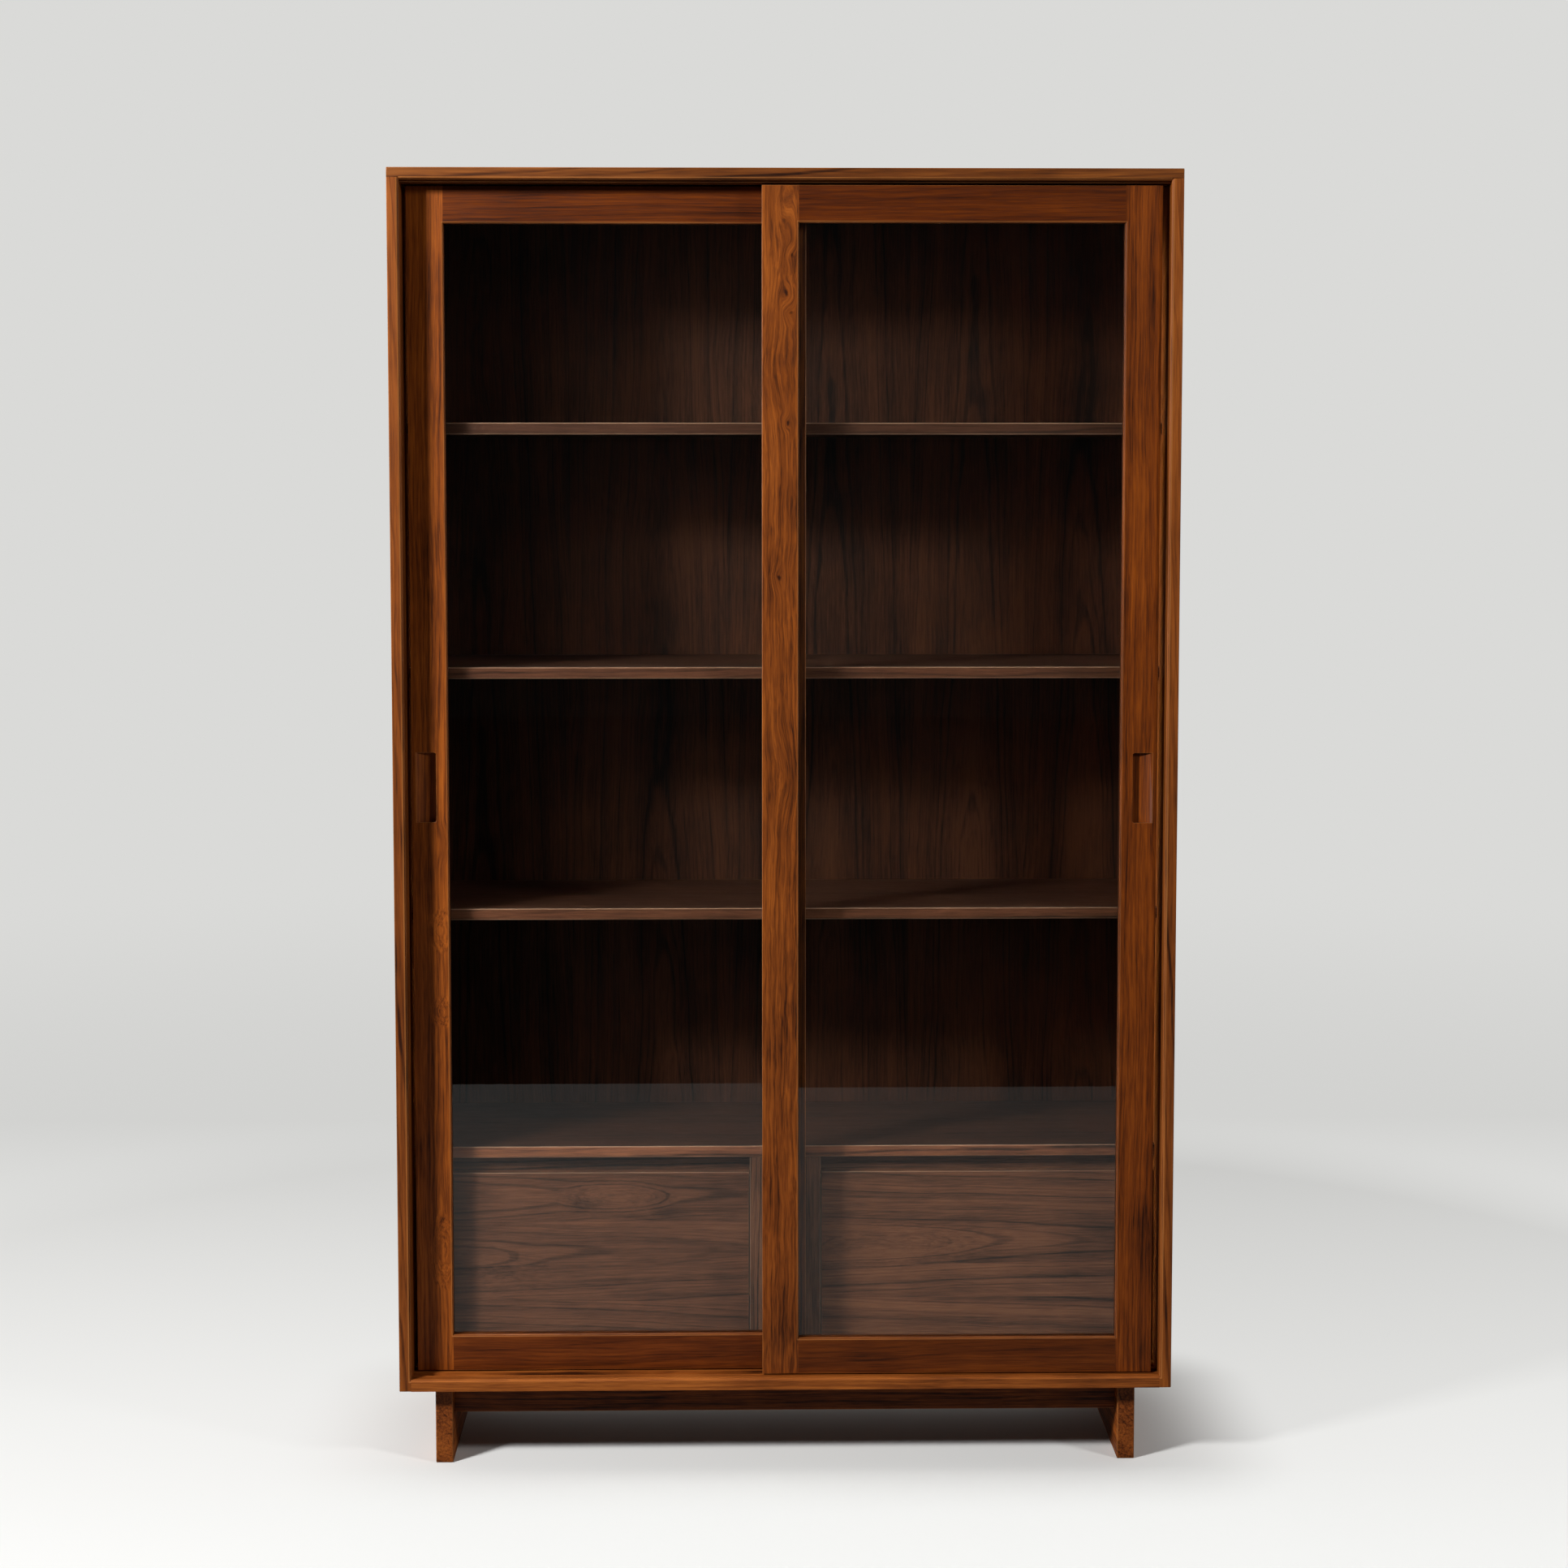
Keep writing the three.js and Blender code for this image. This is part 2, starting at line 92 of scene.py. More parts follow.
def linear(colour: str) -> tuple[float, float, float, float]:
    """Turns an sRGB hex colour into linear RGBA, by the curve in the sRGB standard.

    Args:
        colour: The colour, as "#rrggbb".

    Returns:
        The red, green and blue parts, and an alpha of 1.
    """
    parts = [int(colour[i : i + 2], 16) / 255 for i in (1, 3, 5)]
    bright = [p / 12.92 if p <= 0.04045 else ((p + 0.055) / 1.055) ** 2.4 for p in parts]
    return (*bright, 1.0)


class Graph:
    """The node tree of a material or of the world, which starts empty."""

    def __init__(self, owner: Material | bpy.types.World) -> None:
        """Empties the tree of its owner.

        Args:
            owner: The material or the world.
        """
        owner.use_nodes = True
        self.tree = owner.node_tree
        self.tree.nodes.clear()

    def add(
        self, kind: str, links: tuple | dict = (), give: int | str = 0, **settings: str | bool
    ) -> Socket | None:
        """Adds a node with its settings and links.

        Args:
            kind: The node's type, without "ShaderNode".
            links: Sockets to link or values to set, in the inputs' order or by input.
            give: The output to return.
            settings: The node's own properties.

        Returns:
            The output, if the node has any.
        """
        node = self.tree.nodes.new(f"ShaderNode{kind}")
        for name, value in settings.items():
            setattr(node, name, value)
        for key, value in links.items() if isinstance(links, dict) else enumerate(links):
            if isinstance(value, Socket):
                self.tree.links.new(value, node.inputs[key])
            else:
                node.inputs[key].default_value = value
        return node.outputs[give] if node.outputs else None


def link_piece(name: str, mesh: bmesh.types.BMesh, material: Material) -> bpy.types.Object:
    """Puts a finished mesh into the scene.

    Args:
        name: The piece's name.
        mesh: Its mesh, which is freed.
        material: Its material.

    Returns:
        The piece.
    """
    data = bpy.data.meshes.new(name)
    mesh.to_mesh(data)
    mesh.free()
    data.materials.append(material)
    piece = bpy.data.objects.new(name, data)
    bpy.context.scene.collection.objects.link(piece)
    return piece


class Run(Enum):
    """Which way a board's grain runs, and which way its width lies."""

    RAIL = ("X", "Z")
    UPRIGHT = ("Z", "X")
    SIDE = ("Z", "Y")
    SHELF = ("X", "Y")
    DEPTH = ("Y", "Z")

    def turn(self) -> Matrix:
        """Finds the turn that brings the grain to X and the width to Y.

        Returns:
            The turn, whose rows point along the grain, across it and through the board.
        """
        axes = {"X": Vector((1, 0, 0)), "Y": Vector((0, 1, 0)), "Z": Vector((0, 0, 1))}
        grain, width = (axes[name] for name in self.value)
        return Matrix((grain, width, grain.cross(width)))


class Cut(Enum):
    """Where the heart of the tree lies from the middle of a board, across it and behind it."""

    PLAIN = (4 * MM, 30 * MM)
    RIFT = (55 * MM, 45 * MM)
    QUARTER = (140 * MM, 12 * MM)


class Layer(Enum):
    """A layer of noise in a board's figure, and what it adds to the board's seed."""

    DRIFT = 0
    RAGGED = 3
    CLOUDS = 5
    FIBRES = 9
    PORES = 13


@dataclass(frozen=True)
class Knot:
    """A knot in a board's face, or an eye in its figure.

    Attributes:
        along: Its place along the grain, from the middle of the board.
        across: Its place over the width, from the middle of the board.
        size: Half the width of the grain that it bends.
        pull: How far it pulls the grain sideways.
        spread: How far the grain parts to flow round it, from 0 to 1.
        stretch: How much longer than wide it is.
        core: How dark its heart is.
        rise: How far the rings swell through the face, which shows as an eye of nested ovals.
    """

    along: float
    across: float
    size: float = 11 * MM
    pull: float = 4 * MM
    spread: float = 0.75
    stretch: float = 2.0
    core: float = 0.6
    rise: float = 0.0


@dataclass(frozen=True)
class Board:
    """How one board was sawn, and what its figure is.

    Attributes:
        run: The way of its grain.
        cut: Where it came from in the log.
        seed: Picks its stretch of the log.
        tint: The colour that its wood is multiplied by, which on some boards is painted shade.
        taper: How fast the rings grow along the grain.
        sway: How far the grain wanders sideways.
        waves: How often it wanders in a metre, along, across and through.
        knots: Its knots.
        glue_lines: Joints between the staves or leaves of a wide panel, from its middle.
        hearts: Where the heart of the tree lies behind each stave, from the board's middle.
        mottle: How much its staves differ in tone.
        figure: How strongly its figure shows.
        edge: How much lighter the narrow edges along its grain are than its faces, as painted light.
        rear: How much lighter the face away from the camera is, as the near face keeps a painted shade.
    """

    run: Run
    cut: Cut = Cut.RIFT
    seed: int = 0
    tint: str = "#ffffff"
    taper: float = 0.008
    sway: float = 9 * MM
    waves: Triple = (2.6, 9.0, 9.0)
    knots: tuple[Knot, ...] = ()
    glue_lines: Row = ()
    hearts: Row = (0.0,)
    mottle: float = 0.2
    figure: float = 1.0
    edge: float = 1.0
    rear: float = 1.0


@dataclass(frozen=True)
class Timber:
    """Planed, sanded and oiled timber, with the rings, pores and streaks of one species.

    Attributes:
        late: Colour of the late wood, at the end of each ring.
        heart: Colour of most of the wood.
        pale: Colour of its lightest streaks.
        worn_glint: Colour of rubbed arrises, lighter from wear and as a painted highlight along them.
        ring: Width of a year's ring.
        streaks: How strongly broad bands of rings differ.
        lines: How dark the end of a ring can be.
        clouds: How strongly the colour drifts over the board.
        fibres: How strongly the bundles of fibres show.
        fibre: Width of a bundle.
        pores: How strongly the open pores show, as short dark dashes.
        pore: Width of a pore's dash, drawn several times its real size so that it shows.
        roughness: Roughness of the finish.
        dulling: How far the pores change the roughness.
        sheen: Strength of its reflections.
        relief: Depth of the pores.
        relief_share: How strongly their depth shows.
        end_grain: How much darker end grain is, because it drinks more oil.
        log: Length of the log that boards and staves are cut from.
        ragged: How far the grain round a knot strays from an oval.
        ragged_pace: How often it strays in a metre.
        swell: How far out a knot bends the grain, in its own sizes.
        core: Where its dark heart starts to fade and ends, in its own sizes.
        band_pace: Broad bands to a ring.
        year_pace: Changes of the late wood to a ring.
        late_range: Between which values of its noise the late wood sets in.
        cloud_pace: Clouds to the metre, along, across and through.
        fibre_pace: Bundles to the metre along the grain.
        pore_pace: Pores to the metre along the grain.
    """

    # Each step of a seed moves the noise by this, along, across and through
    SEED_STEP = (3.7, 1.9, 5.3)
    # The middle of noise, and of the ramp, where the colour of most of the wood stands
    MIDDLE = 0.5
    # The late wood's noise is plainer, and the middle of its tone lower
    LATE_DETAIL = 2.0
    LATE_MIDDLE = 0.3
    # Between these shares of facing one way, a face turns into an edge or an end
    SLANTS = (0.5, 0.95)
    # Most of the pores' noise lies between these
    PORE_RANGE = (0.3, 0.7)

    late: str
    heart: str
    pale: str
    worn_glint: str
    ring: float = 3.2 * MM
    streaks: float = 1.1
    lines: float = 0.25
    clouds: float = 1.1
    fibres: float = 1.7
    fibre: float = 3.6 * MM
    pores: float = 1.2
    pore: float = 1.4 * MM
    roughness: float = 0.45
    dulling: float = 0.06
    sheen: float = 0.22
    relief: float = 0.15 * MM
    relief_share: float = 0.2
    end_grain: float = 0.4
    log: float = 3.0
    ragged: float = 9 * MM
    ragged_pace: float = 70.0
    swell: float = 2.2
    core: Pair = (0.05, 0.5)
    band_pace: float = 0.14
    year_pace: float = 0.7
    late_range: Pair = (0.5, 0.75)
    cloud_pace: Triple = (7.0, 13.0, 13.0)
    fibre_pace: float = 5.0
    pore_pace: float = 30.0

    def place(self, graph: Graph, board: Board, middle: Vector) -> Socket:
        """Brings object coordinates into the board's own frame.

        Args:
            graph: The material's nodes.
            board: The board.
            middle: Its middle, in the object's frame.

        Returns:
            Coordinates with X along the grain, Y over the width and Z through the board.
        """
        turn = board.run.turn()
        links = (graph.add("TexCoord", give="Object"), -(turn @ middle), turn.to_euler())
        return graph.add("Mapping", links)

    def log_place(self, graph: Graph, board: Board, place: Socket) -> tuple[Socket, Socket]:
        """Gives each stave of a board its own stretch of the log.

        Args:
            graph: The material's nodes.
            board: The board.
            place: Coordinates in the board's frame.

        Returns:
            Coordinates in the log, and a random colour for each stave.
        """
        across = graph.add("SeparateXYZ", (place,), "Y")
        stave, heart = float(board.seed), board.hearts[0]
        for line, before, after in zip(board.glue_lines, board.hearts, board.hearts[1:]):
            past = graph.add("Math", (across, line), operation="GREATER_THAN")
            stave = graph.add("Math", (past, stave), operation="ADD")
            heart = graph.add("Math", (past, after - before, heart), operation="MULTIPLY_ADD")
        chance = graph.add("TexWhiteNoise", {"W": stave}, "Color", noise_dimensions="1D")
        moved = graph.add("VectorMath", (chance, (self.log, 0.0, 0.0), place), operation="MULTIPLY_ADD")
        heart = graph.add("CombineXYZ", (0.0, heart, 0.0))
        return graph.add("VectorMath", (moved, heart), operation="SUBTRACT"), chance

    def noise(
        self, graph: Graph, board: Board, layer: Layer, place: Socket, pace: Triple, give: str = "Fac"
    ) -> Socket:
        """Adds noise that can be drawn out along the grain.

        Args:
            graph: The material's nodes.
            board: The board, whose seed moves the noise elsewhere.
            layer: What the noise is for, which moves it further.
            place: Coordinates of the noise.
            pace: Features to the metre, along, across and through.
            give: The noise's output, "Fac" or "Color".

        Returns:
            The noise.
        """
        seed = board.seed + layer.value
        links = (place, pace, tuple(seed * step for step in self.SEED_STEP))
        moved = graph.add("VectorMath", links, operation="MULTIPLY_ADD")
        return graph.add("TexNoise", {"Vector": moved, "Scale": 1.0, "Detail": DETAIL}, give)

    def bend(
        self, graph: Graph, board: Board, place: Socket, log: Socket
    ) -> tuple[Socket, Socket | float]:
        """Lets the grain wander, and flow round each knot.

        Args:
            graph: The material's nodes.
            board: The board.
            place: Coordinates in the board's frame.
            log: Coordinates in the log.

        Returns:
            Coordinates in the log that follow the grain, and how deep in a knot each point is.
        """
        drift = self.noise(graph, board, Layer.DRIFT, log, board.waves, "Color")
        drift = graph.add("VectorMath", (drift, (self.MIDDLE,) * 3), operation="SUBTRACT")
        reach = (0.0, 2 * board.sway, 2 * board.sway)
        bent = graph.add("VectorMath", (drift, reach, log), operation="MULTIPLY_ADD")
        across = graph.add("SeparateXYZ", (place,), "Y")
        ragged = self.noise(graph, board, Layer.RAGGED, place, (self.ragged_pace,) * 3, "Color")
        ragged = graph.add("VectorMath", (ragged, (self.ragged,) * 3, place), operation="MULTIPLY_ADD")
        shift = lift = cores = 0.0
        for knot in board.knots:
            size = (1 / (knot.size * knot.stretch), 1 / knot.size, 0.0)
            middle = (knot.along + self.ragged / 2, knot.across + self.ragged / 2)
            offset = (-middle[0] * size[0], -middle[1] * size[1], 0.0)
            near = graph.add("VectorMath", (ragged, size, offset), operation="MULTIPLY_ADD")
            near = graph.add("VectorMath", (near,), "Value", operation="LENGTH")
            swell = graph.add("MapRange", (near, 0.0, self.swell, 1.0, 0.0), **SMOOTH)
            push = (across, -knot.spread, knot.pull + knot.spread * knot.across)
            push = graph.add("Math", push, operation="MULTIPLY_ADD")
            shift = graph.add("Math", (push, swell, shift), operation="MULTIPLY_ADD")
            if knot.rise:
                lift = graph.add("Math", (swell, knot.rise, lift), operation="MULTIPLY_ADD")
            core = graph.add("MapRange", (near, *self.core, knot.core, 0.0), **SMOOTH)
            cores = graph.add("Math", (core, cores), operation="ADD")
        shift = graph.add("CombineXYZ", (0.0, shift, lift))
        return graph.add("VectorMath", (bent, shift), operation="ADD"), cores

    def rings(self, graph: Graph, board: Board, bent: Socket) -> Socket:
        """Counts the rings from the heart of the tree.

        Args:
            graph: The material's nodes.
            board: The board.
            bent: Coordinates in the log that follow the grain.

        Returns:
            The ring count.
        """
        across, behind = board.cut.value
        links = (bent, (0.0, 1.0, 1.0), (0.0, -across, -behind))
        radial = graph.add("VectorMath", links, operation="MULTIPLY_ADD")
        radius = graph.add("VectorMath", (radial,), "Value", operation="LENGTH")
        along = graph.add("SeparateXYZ", (bent,))
        radius = graph.add("Math", (along, board.taper, radius), operation="MULTIPLY_ADD")
        return graph.add("Math", (radius, 1 / self.ring), operation="MULTIPLY")

    def tone(self, graph: Graph, board: Board, place: Socket) -> tuple[Socket, Socket, Socket]:
        """Works out how light the wood is.

        Args:
            graph: The material's nodes.
            board: The board.
            place: Coordinates in the board's frame.

        Returns:
            The tone from 0 to 1, the pores, and the clouds that the arrises' wear and painted highlight
            follow.
        """
        log, chance = self.log_place(graph, board, place)
        bent, cores = self.bend(graph, board, place, log)
        count = self.rings(graph, board, bent)
        ring_noises = []
        for pace, detail in ((self.band_pace, DETAIL), (self.year_pace, self.LATE_DETAIL)):
            ring = graph.add("Math", (count, pace), operation="MULTIPLY")
            links = {"W": ring, "Scale": 1.0, "Detail": detail}
            ring_noises.append(graph.add("TexNoise", links, noise_dimensions="1D"))
        bands, years = ring_noises
        late = graph.add("MapRange", (years, *self.late_range, 0.0, 1.0), **SMOOTH)
        fine = (self.fibre_pace, 1 / self.fibre, 1 / self.fibre)
        finest = (self.pore_pace, 1 / self.pore, 1 / self.pore)
        clouds = self.noise(graph, board, Layer.CLOUDS, bent, self.cloud_pace)
        fibres = self.noise(graph, board, Layer.FIBRES, bent, fine)
        pores = self.noise(graph, board, Layer.PORES, bent, finest)
        shades = [
            (bands, self.streaks, self.MIDDLE),
            (clouds, self.clouds, self.MIDDLE),
            (fibres, self.fibres, self.MIDDLE),
            (pores, self.pores, self.MIDDLE),
            (graph.add("SeparateXYZ", (chance,), "Y"), board.mottle, self.MIDDLE),
            (late, -self.lines, self.LATE_MIDDLE),
            (cores, -1.0, 0.0),
        ]
        tone = self.MIDDLE - board.figure * sum(weight * middle for _, weight, middle in shades)
        for socket, weight, _ in shades:
            links = (socket, board.figure * weight, tone)
            tone = graph.add("Math", links, operation="MULTIPLY_ADD")
        return tone, pores, clouds

    def colour(self, graph: Graph, board: Board, tone: Socket, wear_and_glint: Socket) -> Socket:
        """Turns the tone into the colour of this board.

        Args:
            graph: The material's nodes.
            board: The board.
            tone: How light the wood is.
            wear_and_glint: How worn the rubbed arrises are, and how much painted highlight they get.

        Returns:
            The colour.
        """
        ramp = graph.add("ValToRGB", (tone,))
        stops = ramp.node.color_ramp.elements
        stops[0].color = linear(self.late)
        stops[1].color = linear(self.pale)
        stops.new(self.MIDDLE).color = linear(self.heart)
        links = {SHARE: 1.0, FIRST: ramp, SECOND: linear(board.tint)}
        colour = graph.add("Mix", links, MIXED, **COLOURS, blend_type="MULTIPLY")
        normal = graph.add("TexCoord", give="Normal")
        facing = []
        for axis in board.run.turn():
            links = (normal, tuple(axis))
            facing.append(graph.add("VectorMath", links, "Value", operation="DOT_PRODUCT"))
        end, side = (graph.add("Math", (toward,), operation="ABSOLUTE") for toward in facing[:2])
        # Painted light: narrow edges are lit up by the edge share, and the far face by the rear share
        for toward, lighter in ((side, board.edge), (facing[2], board.rear)):
            lift = graph.add("MapRange", (toward, *self.SLANTS, 1.0, lighter))
            colour = graph.add("VectorMath", {"Vector": colour, "Scale": lift}, operation="SCALE")
        ends = graph.add("MapRange", (end, *self.SLANTS, 0.0, self.end_grain))
        links = {SHARE: ends, FIRST: colour, SECOND: linear(self.late)}
        colour = graph.add("Mix", links, MIXED, **COLOURS)
        # Rubbed arrises are lightened for wear, and as a painted highlight along them
        rubbed_glint = graph.add("Attribute", give="Fac", attribute_name="arris")
        rubbed_glint = graph.add("Math", (rubbed_glint, wear_and_glint), operation="MULTIPLY")
        links = {SHARE: rubbed_glint, FIRST: colour, SECOND: linear(self.worn_glint)}
        return graph.add("Mix", links, MIXED, **COLOURS)

    def dress(self, name: str, board: Board, low: Vector, high: Vector) -> Material:
        """Makes the material of one board.

        Args:
            name: The material's name.
            board: The board.
            low: The board's lowest corner.
            high: The board's highest corner.

        Returns:
            The material.
        """
        material = bpy.data.materials.new(name)
        graph = Graph(material)
        place = self.place(graph, board, (low + high) / 2)
        tone, pores, clouds = self.tone(graph, board, place)
        rough = (self.roughness + self.dulling, self.roughness - self.dulling)
        dull = graph.add("MapRange", (pores, *self.PORE_RANGE, *rough))
        relief = {"Strength": self.relief_share, "Distance": self.relief, "Height": pores}
        links = {
            "Base Color": self.colour(graph, board, tone, clouds),
            "Roughness": dull,
            "Normal": graph.add("Bump", relief),
            "Specular IOR Level": self.sheen,
        }
        graph.add("OutputMaterial", (graph.add("BsdfPrincipled", links),))
        return material


# American black walnut, oiled by hand: warm red-brown with near-black late wood
WALNUT = Timber(late="#3f1a06", heart="#944b1a", pale="#c46b29", worn_glint="#b8743a")
# The same walnut in the case's wide boards, where its rings show more than its fibres
WIDE_WALNUT = replace(WALNUT, streaks=1.5, lines=0.55, clouds=0.8, fibres=1.2, pores=0.8)
# The same walnut inside the case, sanded and left dry: duller, and greyer and darker partly as painted
# shade of the case's inside
SHADED_DRY_WALNUT = Timber(
    late="#241a15",
    heart="#5c4132",
    pale="#7a5946",
    worn_glint="#987862",
    streaks=1.5,
    lines=0.5,
    clouds=1.2,
    fibres=1.1,
    roughness=0.6,
    sheen=0.15,
)
# Steamed beech, sealed: plain and pale, with short flecks
BEECH = Timber(
    late="#8a5f3c",
    heart="#b98e64",
    pale="#d3ae86",
    worn_glint="#dcbf9c",
    streaks=0.4,
    lines=0.1,
    clouds=0.4,
    fibres=0.6,
    pores=0.8,
)


@dataclass(frozen=True)
class WindowGlass:
    """Float glass, clear and flat: it shows what stands behind it and mirrors the pale floor.

    Attributes:
        ior: Its refractive index, typical of soda-lime glass.
        clear: Its tint.
    """

    ior: float = 1.5
    clear: str = "#f2f5f3"

    def dress(self, name: str) -> Material:
        """Makes the glass, which lets the lamps' light through to what stands behind it.

        Args:
            name: The material's name.

        Returns:
            The material.
        """
        material = bpy.data.materials.new(name)
        graph = Graph(material)
        links = {"Base Color": linear(self.clear), "Roughness": 0.0, "IOR": self.ior}
        glass = graph.add("BsdfPrincipled", {**links, "Transmission Weight": 1.0})
        through = graph.add("BsdfTransparent", (linear(self.clear),))
        shadow = graph.add("LightPath", give="Is Shadow Ray")
        graph.add("OutputMaterial", (graph.add("MixShader", (shadow, glass, through)),))
        return material


@dataclass(frozen=True)
class ZincSteel:
    """Mild steel, zinc plated: a grey metal with a soft bloom.

    Attributes:
        bright: Colour of its brightest crystals.
        dull: Colour of its dullest.
        bloom: Size of a patch of them.
        bloom_range: Between which values of its noise the bloom changes.
        roughness: Roughness at either end of that.
    """

    bright: str = "#b9bcbd"
    dull: str = "#8d9192"
    bloom: float = 4 * MM
    bloom_range: Pair = (0.2, 0.8)
    roughness: Pair = (0.28, 0.48)

    def dress(self, name: str) -> Material:
        """Makes the plated steel.

        Args:
            name: The material's name.

        Returns:
            The material.
        """
        material = bpy.data.materials.new(name)
        graph = Graph(material)
        place = graph.add("TexCoord", give="Object")
        bloom = graph.add("TexNoise", {"Vector": place, "Scale": 1 / self.bloom, "Detail": DETAIL})
        links = {SHARE: bloom, FIRST: linear(self.dull), SECOND: linear(self.bright)}
        colour = graph.add("Mix", links, MIXED, **COLOURS)
        rough = graph.add("MapRange", (bloom, *self.bloom_range, *self.roughness))
        links = {"Base Color": colour, "Metallic": 1.0, "Roughness": rough}
        graph.add("OutputMaterial", (graph.add("BsdfPrincipled", links),))
        return material


class Bench:
    """Where frame nodes become finished pieces: their free arrises are eased here."""

    # Points closer than this are one point, and faces that turn by less are one face
    SAME_POINT = 0.005 * MM
    FLAT = math.radians(0.3)
    # Two faces closer than this meet in a joint, whose edges stay sharp
    JOINT = 0.8 * MM
    # Where an edge is probed along its length, and how far out and round, as shares of a joint
    SAMPLE_SHARES = (0.08, 0.3, 0.5, 0.7, 0.92)
    PROBE_OUT = 0.7
    PROBE_ROUND = 0.9
    # An edge whose faces turn by less is no arris
    LEAST_TURN = math.radians(25)
    # Steps in the round of an arris
    ROUND_STEPS = 2

    def __init__(self, nodes: dict[str, bpy.types.Object]) -> None:
        """Reads every solid of the frame.

        Args:
            nodes: The frame's nodes by name.
        """
        self.nodes = nodes
        self.boxes = {name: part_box(name) for name in nodes}
        self.solids = {name: BVHTree.FromBMesh(self.merged(name)) for name in nodes}

    def merged(self, node: str) -> bmesh.types.BMesh:
        """Copies a node's loose triangles into one closed mesh with flat faces.

        Args:
            node: The frame's node.

        Returns:
            The mesh.
        """
        mesh = bmesh.new()
        mesh.from_mesh(self.nodes[node].data)
        bmesh.ops.remove_doubles(mesh, verts=mesh.verts, dist=self.SAME_POINT)
        bmesh.ops.dissolve_limit(mesh, angle_limit=self.FLAT, verts=mesh.verts, edges=mesh.edges)
        mesh.normal_update()
        return mesh

    def neighbours(self, node: str) -> list[BVHTree]:
        """Finds the solids whose boxes come within a joint's width of a node.

        Args:
            node: The frame's node.

        Returns:
            The solids, without the node's own.
        """
        low, high = self.boxes[node]
        near = []
        for other, (start, end) in self.boxes.items():
            gaps = [max(start[axis] - high[axis], low[axis] - end[axis]) for axis in range(3)]
            if other != node and max(gaps) <= self.JOINT:
                near.append(self.solids[other])
        return near

    def stands_free(self, edge: bmesh.types.BMEdge, others: list[BVHTree]) -> bool:
        """Says whether most of an outer edge has no other piece against it.

        Args:
            edge: The edge.
            others: The solids near its piece.

        Returns:
            True where the edge can be eased.
        """
        if len(edge.link_faces) != 2 or not edge.is_convex:
            return False
        if edge.calc_face_angle() < self.LEAST_TURN:
            return False
        outward = sum((face.normal for face in edge.link_faces), Vector()).normalized()
        start, end = (vert.co for vert in edge.verts)
        reach = self.JOINT * self.PROBE_ROUND
        touched = 0
        for share in self.SAMPLE_SHARES:
            point = start.lerp(end, share) + outward * self.JOINT * self.PROBE_OUT
            touched += any(tree.find_nearest(point, reach)[0] is not None for tree in others)
        return touched * 2 < len(self.SAMPLE_SHARES)

    def ease(self, mesh: bmesh.types.BMesh, others: list[BVHTree], width: float) -> None:
        """Rounds the free arrises over and marks their new faces, for wear and a painted highlight.

        Args:
            mesh: The piece's mesh.
            others: The solids near the piece.
            width: How far the round reaches from each arris.
        """
        mark = mesh.faces.layers.float.new("arris")
        edges = [edge for edge in mesh.edges if self.stands_free(edge, others)]
        shape = {"affect": "EDGES", "segments": self.ROUND_STEPS, "profile": 0.5, "material": -1}
        size = {"offset": width, "offset_type": "OFFSET", "clamp_overlap": True}
        made = bmesh.ops.bevel(mesh, geom=edges, **size, **shape)
        for face in made["faces"]:
            face[mark] = 1.0
            face.smooth = True

    def board(self, node: str, board: Board, slot: str, arris: float, timber: Timber = WALNUT) -> None:
        """Finishes one board: merged, eased and dressed, in place of its node.

        Args:
            node: The frame's node.
            board: How the board was sawn.
            slot: What it is finished in, which starts its material's name.
            arris: How far its arrises are rounded.
            timber: What it is made of.
        """
        mesh = self.merged(node)
        self.ease(mesh, self.neighbours(node), arris)
        material = timber.dress(f"{slot}_{node}", board, *self.boxes[node])
        piece = link_piece(f"finished_{node}", mesh, material)
        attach(piece, self.nodes[node]["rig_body"])
        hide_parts(node)
        LOG.info("%s stands for %s, %d faces", piece.name, node, len(piece.data.polygons))

    def redress(self, node: str, material: Material, slot: str) -> None:
        """Gives a node that keeps its shape a better material.

        Args:
            node: The frame's node.
            material: The material.
            slot: What it is finished in, for the log.
        """
        solid = self.nodes[node]
        solid.data.materials.clear()
        solid.data.materials.append(material)
        LOG.info("%s keeps its shape, in %s", node, slot)


@dataclass
class Assembly:
    """A part of the bookcase that is built from several pieces.

    Attributes:
        bench: Where the pieces are made.
    """

    bench: Bench


